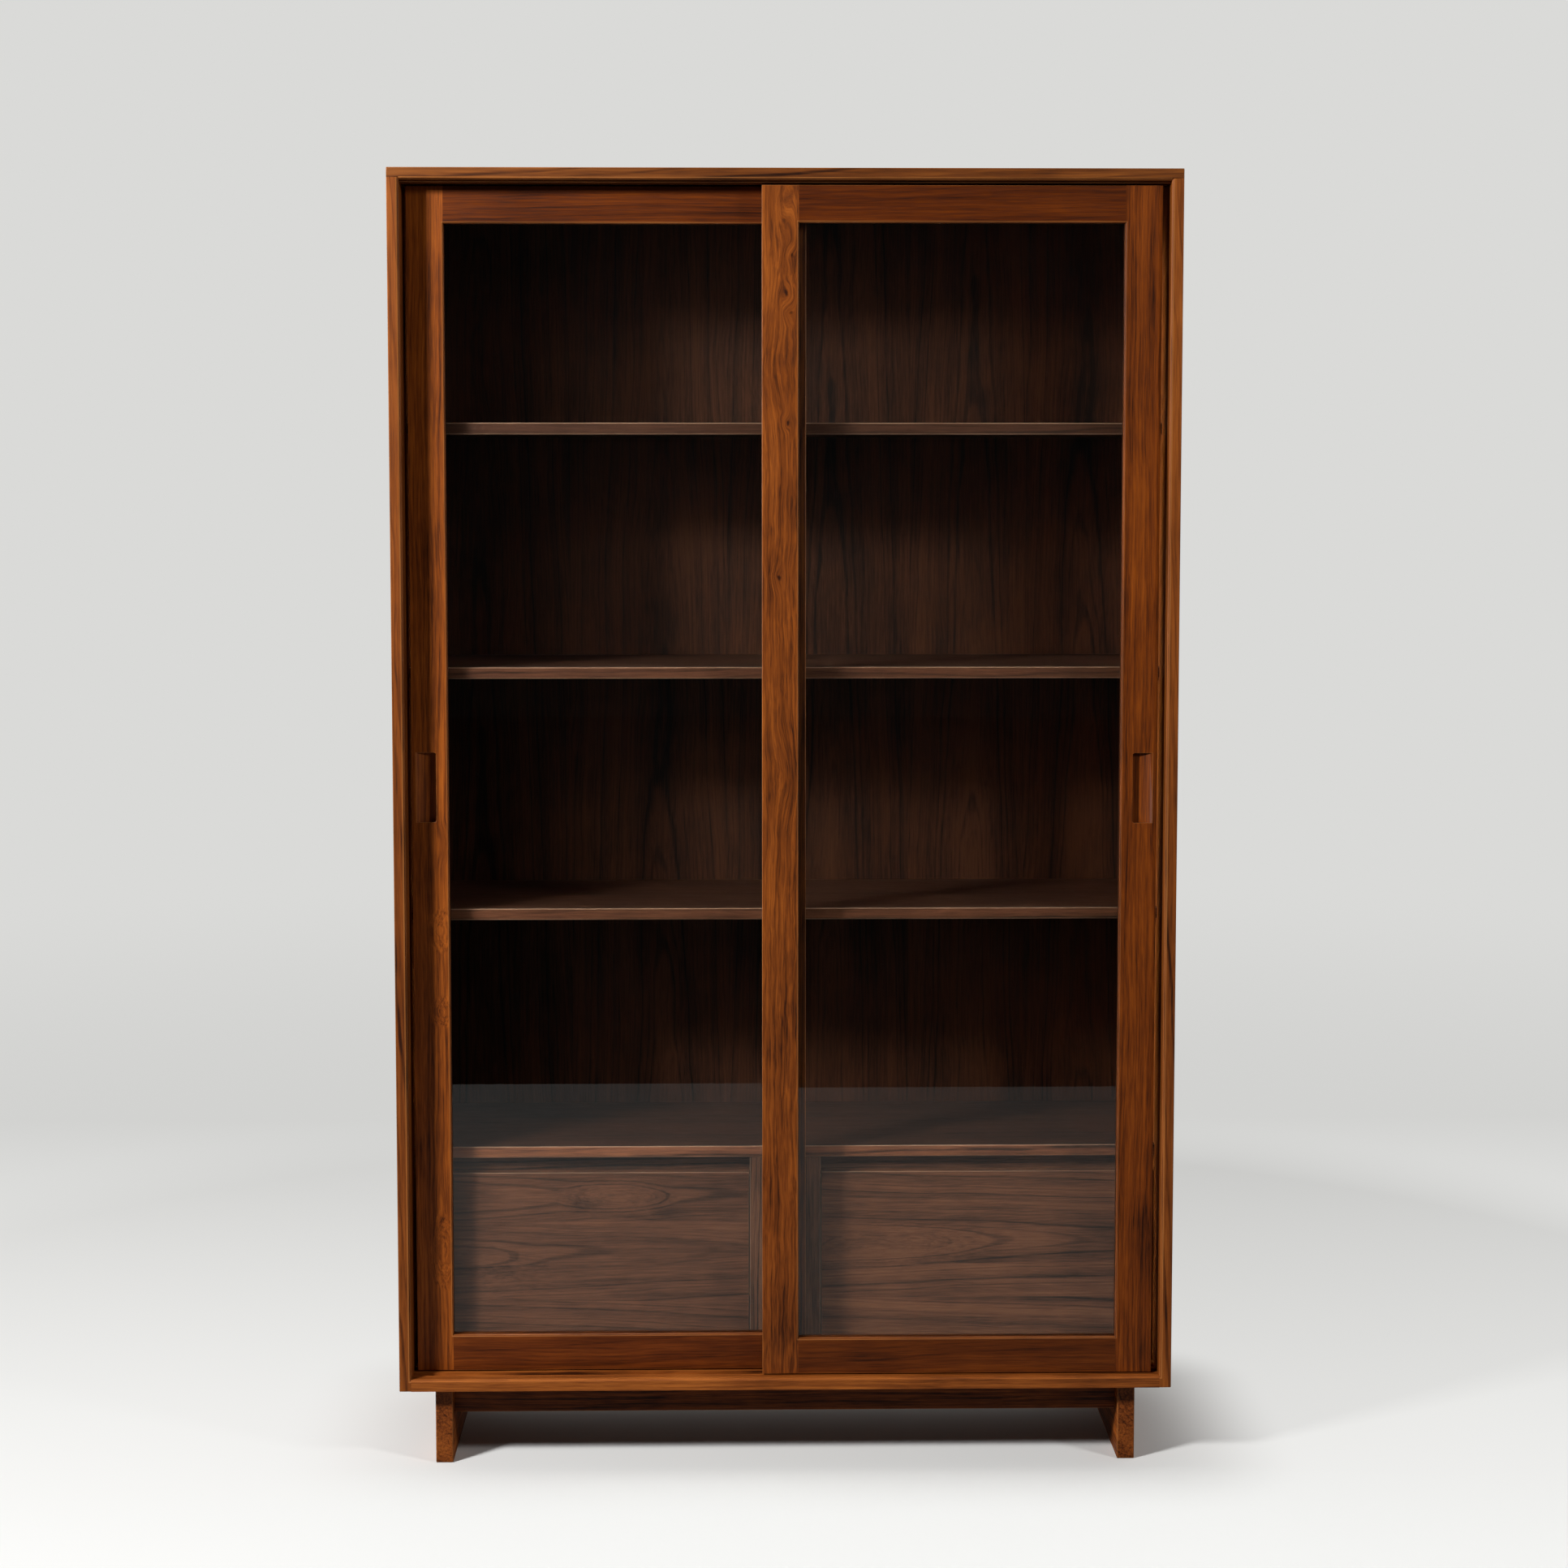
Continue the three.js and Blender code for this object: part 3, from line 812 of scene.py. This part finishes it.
@dataclass
class Carcass(Assembly):
    """The outer case and its back, which is screwed into its rebates.

    Attributes:
        arris: How far the boards' arrises are rounded.
        back_arris: The same of the back panel.
        leaf_edges: Where the back's leaves of veneer meet, from its middle.
        leaf_hearts: Where the heart of the tree lay behind each leaf.
        screw_radius: Radius of the heads of the screws that hold the back.
        screw_height: How far the heads stand out.
        screw_sides: How many sides a head has.
        screw_top: Radius of a head's flat top, as a share of the head's.
        socket_rim: Width of the rim round its socket, as the same share.
        socket_slope: How much narrower the socket's floor is, as the same share.
        screw_inset: How far the screws stand from the edge of the back.
        screws_up: How many stand in each upright row.
        screws_over: How many stand in each level row, along the rebates and the shelves.
    """

    # A face that looks this far to the back is the top of a head
    BACKWARD = 0.9

    arris: float = 1.1 * MM
    back_arris: float = 0.4 * MM
    leaf_edges: Row = (-0.35, -0.09, 0.212, 0.404)
    leaf_hearts: Row = (-0.5, -0.2, 0.08, 0.316, 0.5)
    screw_radius: float = 3.2 * MM
    screw_height: float = 1.6 * MM
    screw_sides: int = 20
    screw_top: float = 0.8
    socket_rim: float = 0.35
    socket_slope: float = 0.05
    screw_inset: float = 4.5 * MM
    screws_up: int = 9
    screws_over: int = 5

    def build(self) -> None:
        """Finishes the top, the bottom, the sides and the back, and drives the back's screws."""
        lay = {"taper": 0.025, "glue_lines": (-0.08, 0.05), "hearts": (-0.15, -0.02, 0.13)}
        boards = {
            "top_board": Board(Run.SHELF, Cut.PLAIN, 3, "#c2cedc", figure=0.75, **lay),
            "bottom_board": Board(Run.SHELF, Cut.RIFT, 14, "#eef6fa"),
            "left_side": Board(Run.SIDE, Cut.PLAIN, 43, "#d8dad4", figure=0.75, **lay),
            "right_side": Board(Run.SIDE, Cut.PLAIN, 37, "#dce0e0", figure=0.75, **lay),
        }
        for node, board in boards.items():
            self.bench.board(node, board, "walnut_case", self.arris, WIDE_WALNUT)
        lay = {"taper": 0.03, "glue_lines": self.leaf_edges, "hearts": self.leaf_hearts}
        # The back's tint is painted shade of the case's inside, which the rear share lifts off its outer
        # face
        back = Board(Run.UPRIGHT, Cut.PLAIN, 61, "#907056", sway=14 * MM, figure=0.8, rear=2.4, **lay)
        self.bench.board("back_panel", back, "walnut_inside", self.back_arris, SHADED_DRY_WALNUT)
        self.drive_screws()

    def screw_places(self) -> set[Pair]:
        """Finds where screws hold the back to the rebates, the deck and the shelves.

        Returns:
            The places, as X and Z.
        """
        low, high = self.bench.boxes["back_panel"]
        left, right = low.x + self.screw_inset, high.x - self.screw_inset
        bottom, top = low.z + self.screw_inset, high.z - self.screw_inset
        levels = [bottom, top]
        for shelf in ("deck_board", "lower_shelf", "middle_shelf", "upper_shelf"):
            under, over = self.bench.boxes[shelf]
            levels.append((under.z + over.z) / 2)
        places = set()
        for step in range(self.screws_up):
            height = bottom + (top - bottom) * step / (self.screws_up - 1)
            places.update(((left, height), (right, height)))
        for step in range(1, self.screws_over - 1):
            across = left + (right - left) * step / (self.screws_over - 1)
            places.update((across, height) for height in levels)
        return places

    def drive_screws(self) -> None:
        """Makes the screws' heads, each with a socket, on the back panel."""
        mesh = bmesh.new()
        face = self.bench.boxes["back_panel"][1].y
        outward = Matrix.Rotation(math.radians(-90), 4, "X")
        radii = {"radius1": self.screw_radius, "radius2": self.screw_radius * self.screw_top}
        shape = {"cap_ends": True, "segments": self.screw_sides, "depth": self.screw_height}
        for across, height in sorted(self.screw_places()):
            spot = Matrix.Translation((across, face + self.screw_height / 2, height))
            bmesh.ops.create_cone(mesh, matrix=spot @ outward, **radii, **shape)
        mesh.normal_update()
        tops = [top for top in mesh.faces if top.normal.y > self.BACKWARD]
        rim, slope = self.screw_radius * self.socket_rim, self.screw_radius * self.socket_slope
        bmesh.ops.inset_individual(mesh, faces=tops, thickness=rim)
        bmesh.ops.inset_individual(mesh, faces=tops, thickness=slope, depth=-self.screw_height / 2)
        heads = link_piece("back_screws", mesh, ZincSteel().dress("zinc_steel_back_screws"))
        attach(heads, "case")
        LOG.info("%s holds the back in its rebates", heads.name)


@dataclass
class Shelving(Assembly):
    """The deck over the drawers and the shelves, each glued up of three staves.

    Attributes:
        arris: How far their arrises are rounded.
        glue_lines: Where the staves meet, from the middle of the shelf.
        hearts: Where the heart of the tree lay behind each stave.
        seed: Picks the wood of the deck, and is raised for each shelf by its staves.
        tint: The tint of the shelves, dark as painted shade; their front edges are then lightened as
            painted light.
        figure: How strongly their figure shows.
    """

    arris: float = 1.4 * MM
    glue_lines: Row = (-0.07, 0.04)
    hearts: Row = (-0.12, 0.06, 0.1)
    seed: int = 150
    tint: str = "#907867"
    figure: float = 0.6

    def build(self) -> None:
        """Finishes the deck and the shelves, from the bottom up."""
        lay = {"glue_lines": self.glue_lines, "hearts": self.hearts, "figure": self.figure}
        # Painted light: how much lighter each front edge is than the faces, from the one in the shade to
        # the one in the light
        edges = {"deck_board": 6.0, "lower_shelf": 2.8, "middle_shelf": 2.4, "upper_shelf": 1.15}
        for step, (node, edge) in enumerate(edges.items()):
            seed = self.seed + step * len(self.hearts)
            board = Board(Run.SHELF, Cut.RIFT, seed, self.tint, edge=edge, **lay)
            self.bench.board(node, board, "walnut_shelf", self.arris, SHADED_DRY_WALNUT)


@dataclass
class DrawerBay(Assembly):
    """What holds and guides the drawers: the post, two dividers, two rails and four runners.

    Attributes:
        arris: How far their arrises are rounded.
        runner_seed: Picks the wood of the first runner.
    """

    arris: float = 0.6 * MM
    runner_seed: int = 72

    def build(self) -> None:
        """Finishes the post, the dividers, the rails and the runners."""
        boards = {
            "centre_post": Board(Run.UPRIGHT, Cut.RIFT, 66, "#ead2be"),
            "left_divider": Board(Run.DEPTH, Cut.RIFT, 67),
            "right_divider": Board(Run.DEPTH, Cut.RIFT, 68),
            # The deck rails' tint is painted shade, in the finger gap under the deck
            "left_deck_rail": Board(Run.RAIL, Cut.RIFT, 69, "#c8b09c"),
            "right_deck_rail": Board(Run.RAIL, Cut.RIFT, 70, "#c8b09c"),
        }
        for node, board in boards.items():
            self.bench.board(node, board, "walnut_inside", self.arris, SHADED_DRY_WALNUT)
        runners = [f"{side}_drawer_{place}" for side in ("left", "right") for place in ("inner", "outer")]
        for seed, runner in enumerate(runners, self.runner_seed):
            board = Board(Run.DEPTH, Cut.RIFT, seed)
            self.bench.board(f"{runner}_runner", board, "beech", self.arris, BEECH)


@dataclass
class Plinth(Assembly):
    """The two leg panels and the stretchers between them, bolted up into the bottom board.

    Attributes:
        arris: How far their arrises are rounded.
        bolts: How many bolts hold it.
    """

    arris: float = 1.5 * MM
    bolts: int = 4

    def build(self) -> None:
        """Finishes the legs, the stretchers and the bolts."""
        boards = {
            "left_leg_panel": Board(Run.DEPTH, Cut.RIFT, 41),
            "right_leg_panel": Board(Run.DEPTH, Cut.RIFT, 44),
            # The front stretcher's tint is painted shade, under the bottom board's overhang
            "front_stretcher": Board(Run.RAIL, Cut.RIFT, 46, "#d3cbbb"),
            "rear_stretcher": Board(Run.RAIL, Cut.QUARTER, 48),
        }
        for node, board in boards.items():
            self.bench.board(node, board, "walnut_case", self.arris)
        for count in range(1, self.bolts + 1):
            node = f"leg_bolt_{count}"
            self.bench.redress(node, ZincSteel().dress(f"zinc_steel_{node}"), "zinc_steel")


@dataclass
class SlidingDoor(Assembly):
    """A glazed door: two stiles, two rails, a pane and the beads that hold it.

    Attributes:
        side: "left" or "right".
        boards: The stiles and rails, by the end of their node's name.
        arris: How far the frame's arrises are rounded.
        bead_arris: The same of the beads.
        bead_shade_tint: The beads' tint, darkened as painted shade because they lie in the rebate.
        bead_seed: Picks the wood of the first bead.
    """

    side: str
    boards: dict[str, Board]
    arris: float = 0.7 * MM
    bead_arris: float = 0.4 * MM
    bead_shade_tint: str = "#6a625c"
    bead_seed: int = 80

    def build(self) -> None:
        """Finishes the frame, the beads and the glass."""
        for name, board in self.boards.items():
            self.bench.board(f"{self.side}_door_{name}", board, "walnut_door", self.arris)
        runs = {"left": Run.UPRIGHT, "right": Run.UPRIGHT, "bottom": Run.RAIL, "top": Run.RAIL}
        # The beads get a tint of painted shade, for the rebate that they lie in
        for seed, (name, run) in enumerate(runs.items(), self.bead_seed):
            board = Board(run, Cut.QUARTER, seed, self.bead_shade_tint)
            self.bench.board(f"{self.side}_door_{name}_bead", board, "walnut_door", self.bead_arris)
        pane = f"{self.side}_door_glass"
        self.bench.redress(pane, WindowGlass().dress(f"window_glass_{self.side}"), "window_glass")


@dataclass
class Drawer(Assembly):
    """A drawer: a walnut front on a beech box.

    Attributes:
        side: "left" or "right".
        front: How the front was glued up.
        seed: Picks the wood of the box.
        front_arris: How far the front's arrises are rounded.
        box_arris: The same of the box.
    """

    side: str
    front: Board
    seed: int
    front_arris: float = 0.8 * MM
    box_arris: float = 0.5 * MM

    def build(self) -> None:
        """Finishes the front and the box behind it."""
        node = f"{self.side}_drawer"
        self.bench.board(f"{node}_front", self.front, "walnut_inside", self.front_arris, SHADED_DRY_WALNUT)
        runs = {"inner_side": Run.DEPTH, "outer_side": Run.DEPTH, "back": Run.RAIL, "bottom": Run.SHELF}
        for seed, (name, run) in enumerate(runs.items(), self.seed):
            self.bench.board(f"{node}_{name}", Board(run, Cut.RIFT, seed), "beech", self.box_arris, BEECH)


@dataclass(frozen=True)
class SoftBox:
    """A studio lamp behind a sheet of cloth, turned to the middle of the case.

    Attributes:
        name: The lamp's name.
        place: Where it hangs.
        power: Its power in watts.
        size: Width and height of the cloth.
        aim: The point that it faces.
    """

    name: str
    place: Triple
    power: float
    size: Pair = (0.6, 0.5)
    aim: Triple = (0.0, 0.0, 1.05)

    def hang(self) -> None:
        """Hangs the lamp in its place."""
        light = bpy.data.lights.new(self.name, "AREA")
        light.shape = "RECTANGLE"
        light.size, light.size_y = self.size
        light.energy = self.power
        lamp = bpy.data.objects.new(self.name, light)
        lamp.location = self.place
        ahead = Vector(self.aim) - Vector(self.place)
        lamp.rotation_euler = ahead.to_track_quat("-Z", "Y").to_euler()
        bpy.context.scene.collection.objects.link(lamp)


@dataclass(frozen=True)
class Camera:
    """The camera, where the photograph's perspective on the case puts it.

    Attributes:
        place: Where it stands.
        dip: How far it looks down, in degrees.
        turn: How far it looks to the right, in degrees.
        drop: How far its picture is moved down, as a share of its side.
        side: That side in pixels.
        focal_length: Its focal length in pixels.
        sensor: Width of its sensor in millimetres.
    """

    place: Triple = (-0.08155, -4.52138, 1.53761)
    dip: float = 4.643
    turn: float = 1.038
    drop: float = 0.049
    side: int = 1932
    focal_length: int = 3500
    sensor: float = 36.0

    def stand(self) -> None:
        """Stands the camera in its place."""
        data = bpy.data.cameras.new("photograph")
        data.sensor_width = self.sensor
        data.lens = self.focal_length * self.sensor / self.side
        data.shift_y = -self.drop
        camera = bpy.data.objects.new("photograph", data)
        camera.location = self.place
        camera.rotation_euler = (math.radians(90 - self.dip), 0, -math.radians(self.turn))
        bpy.context.scene.collection.objects.link(camera)
        bpy.context.scene.camera = camera


@dataclass
class Studio:
    """The floor, the lamps, the surroundings and the camera.

    Attributes:
        camera: The camera.
        lamps: The main lamp, high on the left, and a weaker one opposite.
        floor_radius: Radius of the round floor.
        floor_sides: How many sides it has.
        case_half: Half the length, depth and height of a block that just fits in the case.
        contact: How far from that block the true shadow fades into the plain floor.
        plain: How much of the plain colour the floor then shows.
        fade: Where the floor turns into the backdrop, from the middle.
        paper_edge: Where the pale floor ends in front, as reflections show.
        depths: Where the floor has its near and dim colours, from front to back.
        rim: Where it fades into its far colour, from the middle.
        paint: Colour of the painted floor to the camera.
        bounce: Its darker colour for the light that it throws back.
        near_floor: Plain colour of the floor in front.
        horizon: The same where the floor meets the backdrop, which is a little dimmer.
        far_floor: Plain colour of the backdrop.
        turning: Between which shares of facing back the room goes from dark to lit.
        dark_room: Colour of the room in front of the case.
        lit_room: Its colour behind it.
    """

    camera: Camera = Camera()
    lamps: tuple[SoftBox, ...] = (
        SoftBox("key_lamp", (-2.85, -2.4, 2.85), 180),
        SoftBox("fill_lamp", (3.1, -2.4, 2.85), 45),
    )
    floor_radius: float = 14.0
    floor_sides: int = 96
    case_half: Triple = (0.58, 0.19, 1.0)
    contact: float = 0.24
    plain: float = 0.76
    fade: Pair = (1.0, 2.4)
    paper_edge: float = -2.9
    depths: Pair = (-0.7, 2.2)
    rim: Pair = (2.4, 6.5)
    paint: str = "#f9f9f7"
    bounce: str = "#868685"
    near_floor: str = "#fcfcfa"
    horizon: str = "#d2d2d0"
    far_floor: str = "#dadad8"
    turning: Pair = (-0.35, 0.6)
    dark_room: str = "#101010"
    lit_room: str = "#b4b3b1"

    def seen(self, graph: Graph, mirrored: float | Socket) -> Socket:
        """Says how much of a plain colour each ray sees.

        Args:
            graph: The nodes that ask.
            mirrored: How much of it reflections see, in the glass too.

        Returns:
            1 for the camera, the share given for reflections, and 0 for light that falls on things.
        """
        paths = [graph.add("LightPath", give=name) for name in ("Is Glossy Ray", "Is Transmission Ray")]
        mirror = graph.add("Math", tuple(paths), operation="MAXIMUM")
        links = (mirror, mirrored, graph.add("LightPath", give="Is Camera Ray"))
        return graph.add("Math", links, operation="MULTIPLY_ADD", use_clamp=True)

    def floor_material(self) -> Material:
        """Paints the studio floor, which turns into the backdrop further out.

        Returns:
            The material.
        """
        material = bpy.data.materials.new("painted_floor")
        graph = Graph(material)
        place = graph.add("TexCoord", give="Object")
        ahead = graph.add("SeparateXYZ", (place,), "Y")
        distance = graph.add("VectorMath", (place,), "Value", operation="LENGTH")
        back = graph.add("MapRange", (ahead, *self.depths, 0.0, 1.0))
        links = {SHARE: back, FIRST: linear(self.near_floor), SECOND: linear(self.horizon)}
        plain = graph.add("Mix", links, MIXED, **COLOURS)
        rim = graph.add("MapRange", (distance, *self.rim, 0.0, 1.0), **SMOOTH)
        links = {SHARE: rim, FIRST: plain, SECOND: linear(self.far_floor)}
        plain = graph.add("Emission", (graph.add("Mix", links, MIXED, **COLOURS),))
        away = graph.add("VectorMath", (place,), operation="ABSOLUTE")
        away = graph.add("VectorMath", (away, self.case_half), operation="SUBTRACT")
        away = graph.add("VectorMath", (away, (0.0, 0.0, 0.0)), operation="MAXIMUM")
        away = graph.add("VectorMath", (away,), "Value", operation="LENGTH")
        share = graph.add("MapRange", (away, 0.0, self.contact, 0.0, self.plain), **SMOOTH)
        faded = graph.add("MapRange", (distance, *self.fade, 0.0, 1.0), **SMOOTH)
        share = graph.add("Math", (share, faded), operation="MAXIMUM")
        share = graph.add("Math", (share, self.seen(graph, 0.0)), operation="MULTIPLY")
        paper = graph.add("Math", (ahead, self.paper_edge), operation="GREATER_THAN")
        links = {SHARE: paper, FIRST: linear("#000000"), SECOND: linear(self.bounce)}
        bounce = graph.add("Mix", links, MIXED, **COLOURS)
        camera = graph.add("LightPath", give="Is Camera Ray")
        links = {SHARE: camera, FIRST: bounce, SECOND: linear(self.paint)}
        paint = graph.add("BsdfDiffuse", (graph.add("Mix", links, MIXED, **COLOURS),))
        graph.add("OutputMaterial", (graph.add("MixShader", (share, paint, plain)),))
        return material

    def lay_floor(self) -> None:
        """Lays the round floor."""
        mesh = bmesh.new()
        bmesh.ops.create_circle(mesh, cap_ends=True, segments=self.floor_sides, radius=self.floor_radius)
        link_piece("studio_floor", mesh, self.floor_material())

    def surround(self) -> None:
        """Sets a pale backdrop all round, and a studio that is dark in front and lights the back."""
        world = bpy.data.worlds.new("studio")
        bpy.context.scene.world = world
        graph = Graph(world)
        depth = graph.add("SeparateXYZ", (graph.add("TexCoord", give="Generated"),), "Y")
        behind = graph.add("MapRange", (depth, *self.turning, 0.0, 1.0), **SMOOTH)
        links = {SHARE: behind, FIRST: linear(self.dark_room), SECOND: linear(self.lit_room)}
        dim = graph.add("Mix", links, MIXED, **COLOURS)
        links = {SHARE: self.seen(graph, behind), FIRST: dim, SECOND: linear(self.far_floor)}
        colour = graph.add("Mix", links, MIXED, **COLOURS)
        graph.add("OutputWorld", (graph.add("Background", (colour,)),))

    def build(self) -> None:
        """Sets the studio up round the case."""
        self.camera.stand()
        self.lay_floor()
        self.surround()
        for lamp in self.lamps:
            lamp.hang()
        bpy.context.scene.view_settings.view_transform = "Standard"


# Each knot's along, across, size, pull, spread, stretch, core and rise
REAR_STILE_KNOTS = (
    Knot(-0.085, 16 * MM, 12 * MM, -5 * MM, 0.5, 1.6, 0.0),
    Knot(-0.222, 15 * MM, 12 * MM, 0.0, 0.2, 1.5, -0.12, 14 * MM),
    Knot(-0.349, 16 * MM, 11 * MM, 0.0, 0.2, 1.1, -0.3, 16 * MM),
    Knot(-0.726, 15 * MM, 12 * MM, 0.0, 0.3, 2.6, -0.1, 26 * MM),
)
FRONT_STILE_KNOTS = (
    Knot(0.89, 4 * MM, 9 * MM, 12 * MM, 0.2, 4.0, 0.3),
    Knot(0.84, 12 * MM, 14 * MM, -12 * MM, 0.2, 3.0, 0.0, 4 * MM),
    Knot(0.812, 18 * MM, 8 * MM, 5 * MM, 0.6, 1.4, 0.4),
    Knot(0.755, 9 * MM, 9 * MM, -6 * MM, 0.7, 1.6, 0.5),
    Knot(0.725, 16 * MM, 8 * MM, 5 * MM, 0.7, 1.4, 0.4),
    Knot(0.65, -4 * MM, 20 * MM, 13 * MM, 0.2, 3.0, 0.0),
    Knot(0.56, 11 * MM, 7 * MM, 5 * MM, 0.8, 1.3, 0.5),
    Knot(0.324, -2 * MM, 9 * MM, 5 * MM, 0.8, 1.6, 0.7),
    Knot(0.02, 8 * MM, 16 * MM, -13 * MM, 0.3, 3.0, 0.0),
)
# An eye in the top stave, and drifts in the others
LEFT_FRONT_KNOTS = (
    Knot(0.053, 0.111, 16 * MM, 0.0, 0.0, 3.0, -0.15, 36 * MM),
    Knot(0.0, 0.1, 46 * MM, 0.0, 0.0, 1.5, 0.3),
    Knot(-0.16, 0.03, 40 * MM, 0.0, 0.0, 2.0, 0.2),
    Knot(-0.2, -0.01, 26 * MM, 0.0, 0.0, 3.0, 0.0, 24 * MM),
)
# Arches in the top stave, and dark streaks
RIGHT_FRONT_KNOTS = (
    Knot(-0.2, 0.036, 20 * MM, 0.0, 0.0, 5.0, 0.0, 40 * MM),
    Knot(0.03, 0.094, 18 * MM, 0.0, 0.0, 8.0, 0.25),
    Knot(0.12, -0.018, 16 * MM, 0.0, 0.0, 9.0, 0.25),
)
# How the stiles and rails were sawn, by the end of their node's name
LEFT_DOOR = {
    "left_stile": Board(Run.UPRIGHT, Cut.RIFT, 101, "#e0dab8", figure=0.8, knots=REAR_STILE_KNOTS),
    # Its right stile's tint is painted shade, where the front door's left stile shades it
    "right_stile": Board(Run.UPRIGHT, Cut.RIFT, 103, "#7e7c72"),
    "bottom_rail": Board(Run.RAIL, Cut.RIFT, 105, "#ab9e86", taper=0.05, figure=0.6),
    "top_rail": Board(Run.RAIL, Cut.RIFT, 107, "#a5934a", taper=0.02, figure=0.6),
}
FRONT_STILE_LAY = {"sway": 10 * MM, "waves": (6.0, 14.0, 14.0), "knots": FRONT_STILE_KNOTS}
RIGHT_DOOR = {
    "left_stile": Board(Run.UPRIGHT, Cut.RIFT, 111, "#dcdac6", figure=0.8, **FRONT_STILE_LAY),
    "right_stile": Board(Run.UPRIGHT, Cut.RIFT, 113, "#c8bb89", figure=0.75),
    "bottom_rail": Board(Run.RAIL, Cut.RIFT, 115, "#a29776", taper=0.05, figure=0.6),
    "top_rail": Board(Run.RAIL, Cut.RIFT, 117, "#998645", taper=0.06, figure=0.6),
}
# How the drawers' fronts were glued up, the left one of four staves and the right one of three
LEFT_LAY = {"glue_lines": (-0.054, 0.004, 0.074), "hearts": (-0.26, 0.12, 0.02, 0.111), "figure": 0.7}
RIGHT_LAY = {"glue_lines": (-0.05, 0.004), "hearts": (-0.3, 0.16, 0.036), "figure": 0.7}
LEFT_FRONT = Board(Run.RAIL, Cut.PLAIN, 121, "#e0c3ae", 0.05, knots=LEFT_FRONT_KNOTS, **LEFT_LAY)
RIGHT_FRONT = Board(Run.RAIL, Cut.PLAIN, 131, "#f2d4bd", 0.04, knots=RIGHT_FRONT_KNOTS, **RIGHT_LAY)


def main() -> None:
    """Builds the studio and every sub-assembly."""
    bench = Bench(frame["nodes"])
    parts = (
        Studio(),
        Carcass(bench),
        Shelving(bench),
        DrawerBay(bench),
        Plinth(bench),
        SlidingDoor(bench, "left", LEFT_DOOR),
        SlidingDoor(bench, "right", RIGHT_DOOR),
        Drawer(bench, "left", LEFT_FRONT, seed=140),
        Drawer(bench, "right", RIGHT_FRONT, seed=150),
    )
    for part in parts:
        LOG.info("Building the %s", type(part).__name__)
        part.build()


if __name__ == "__main__":
    logging.basicConfig(level=logging.INFO, format="%(message)s")
    main()
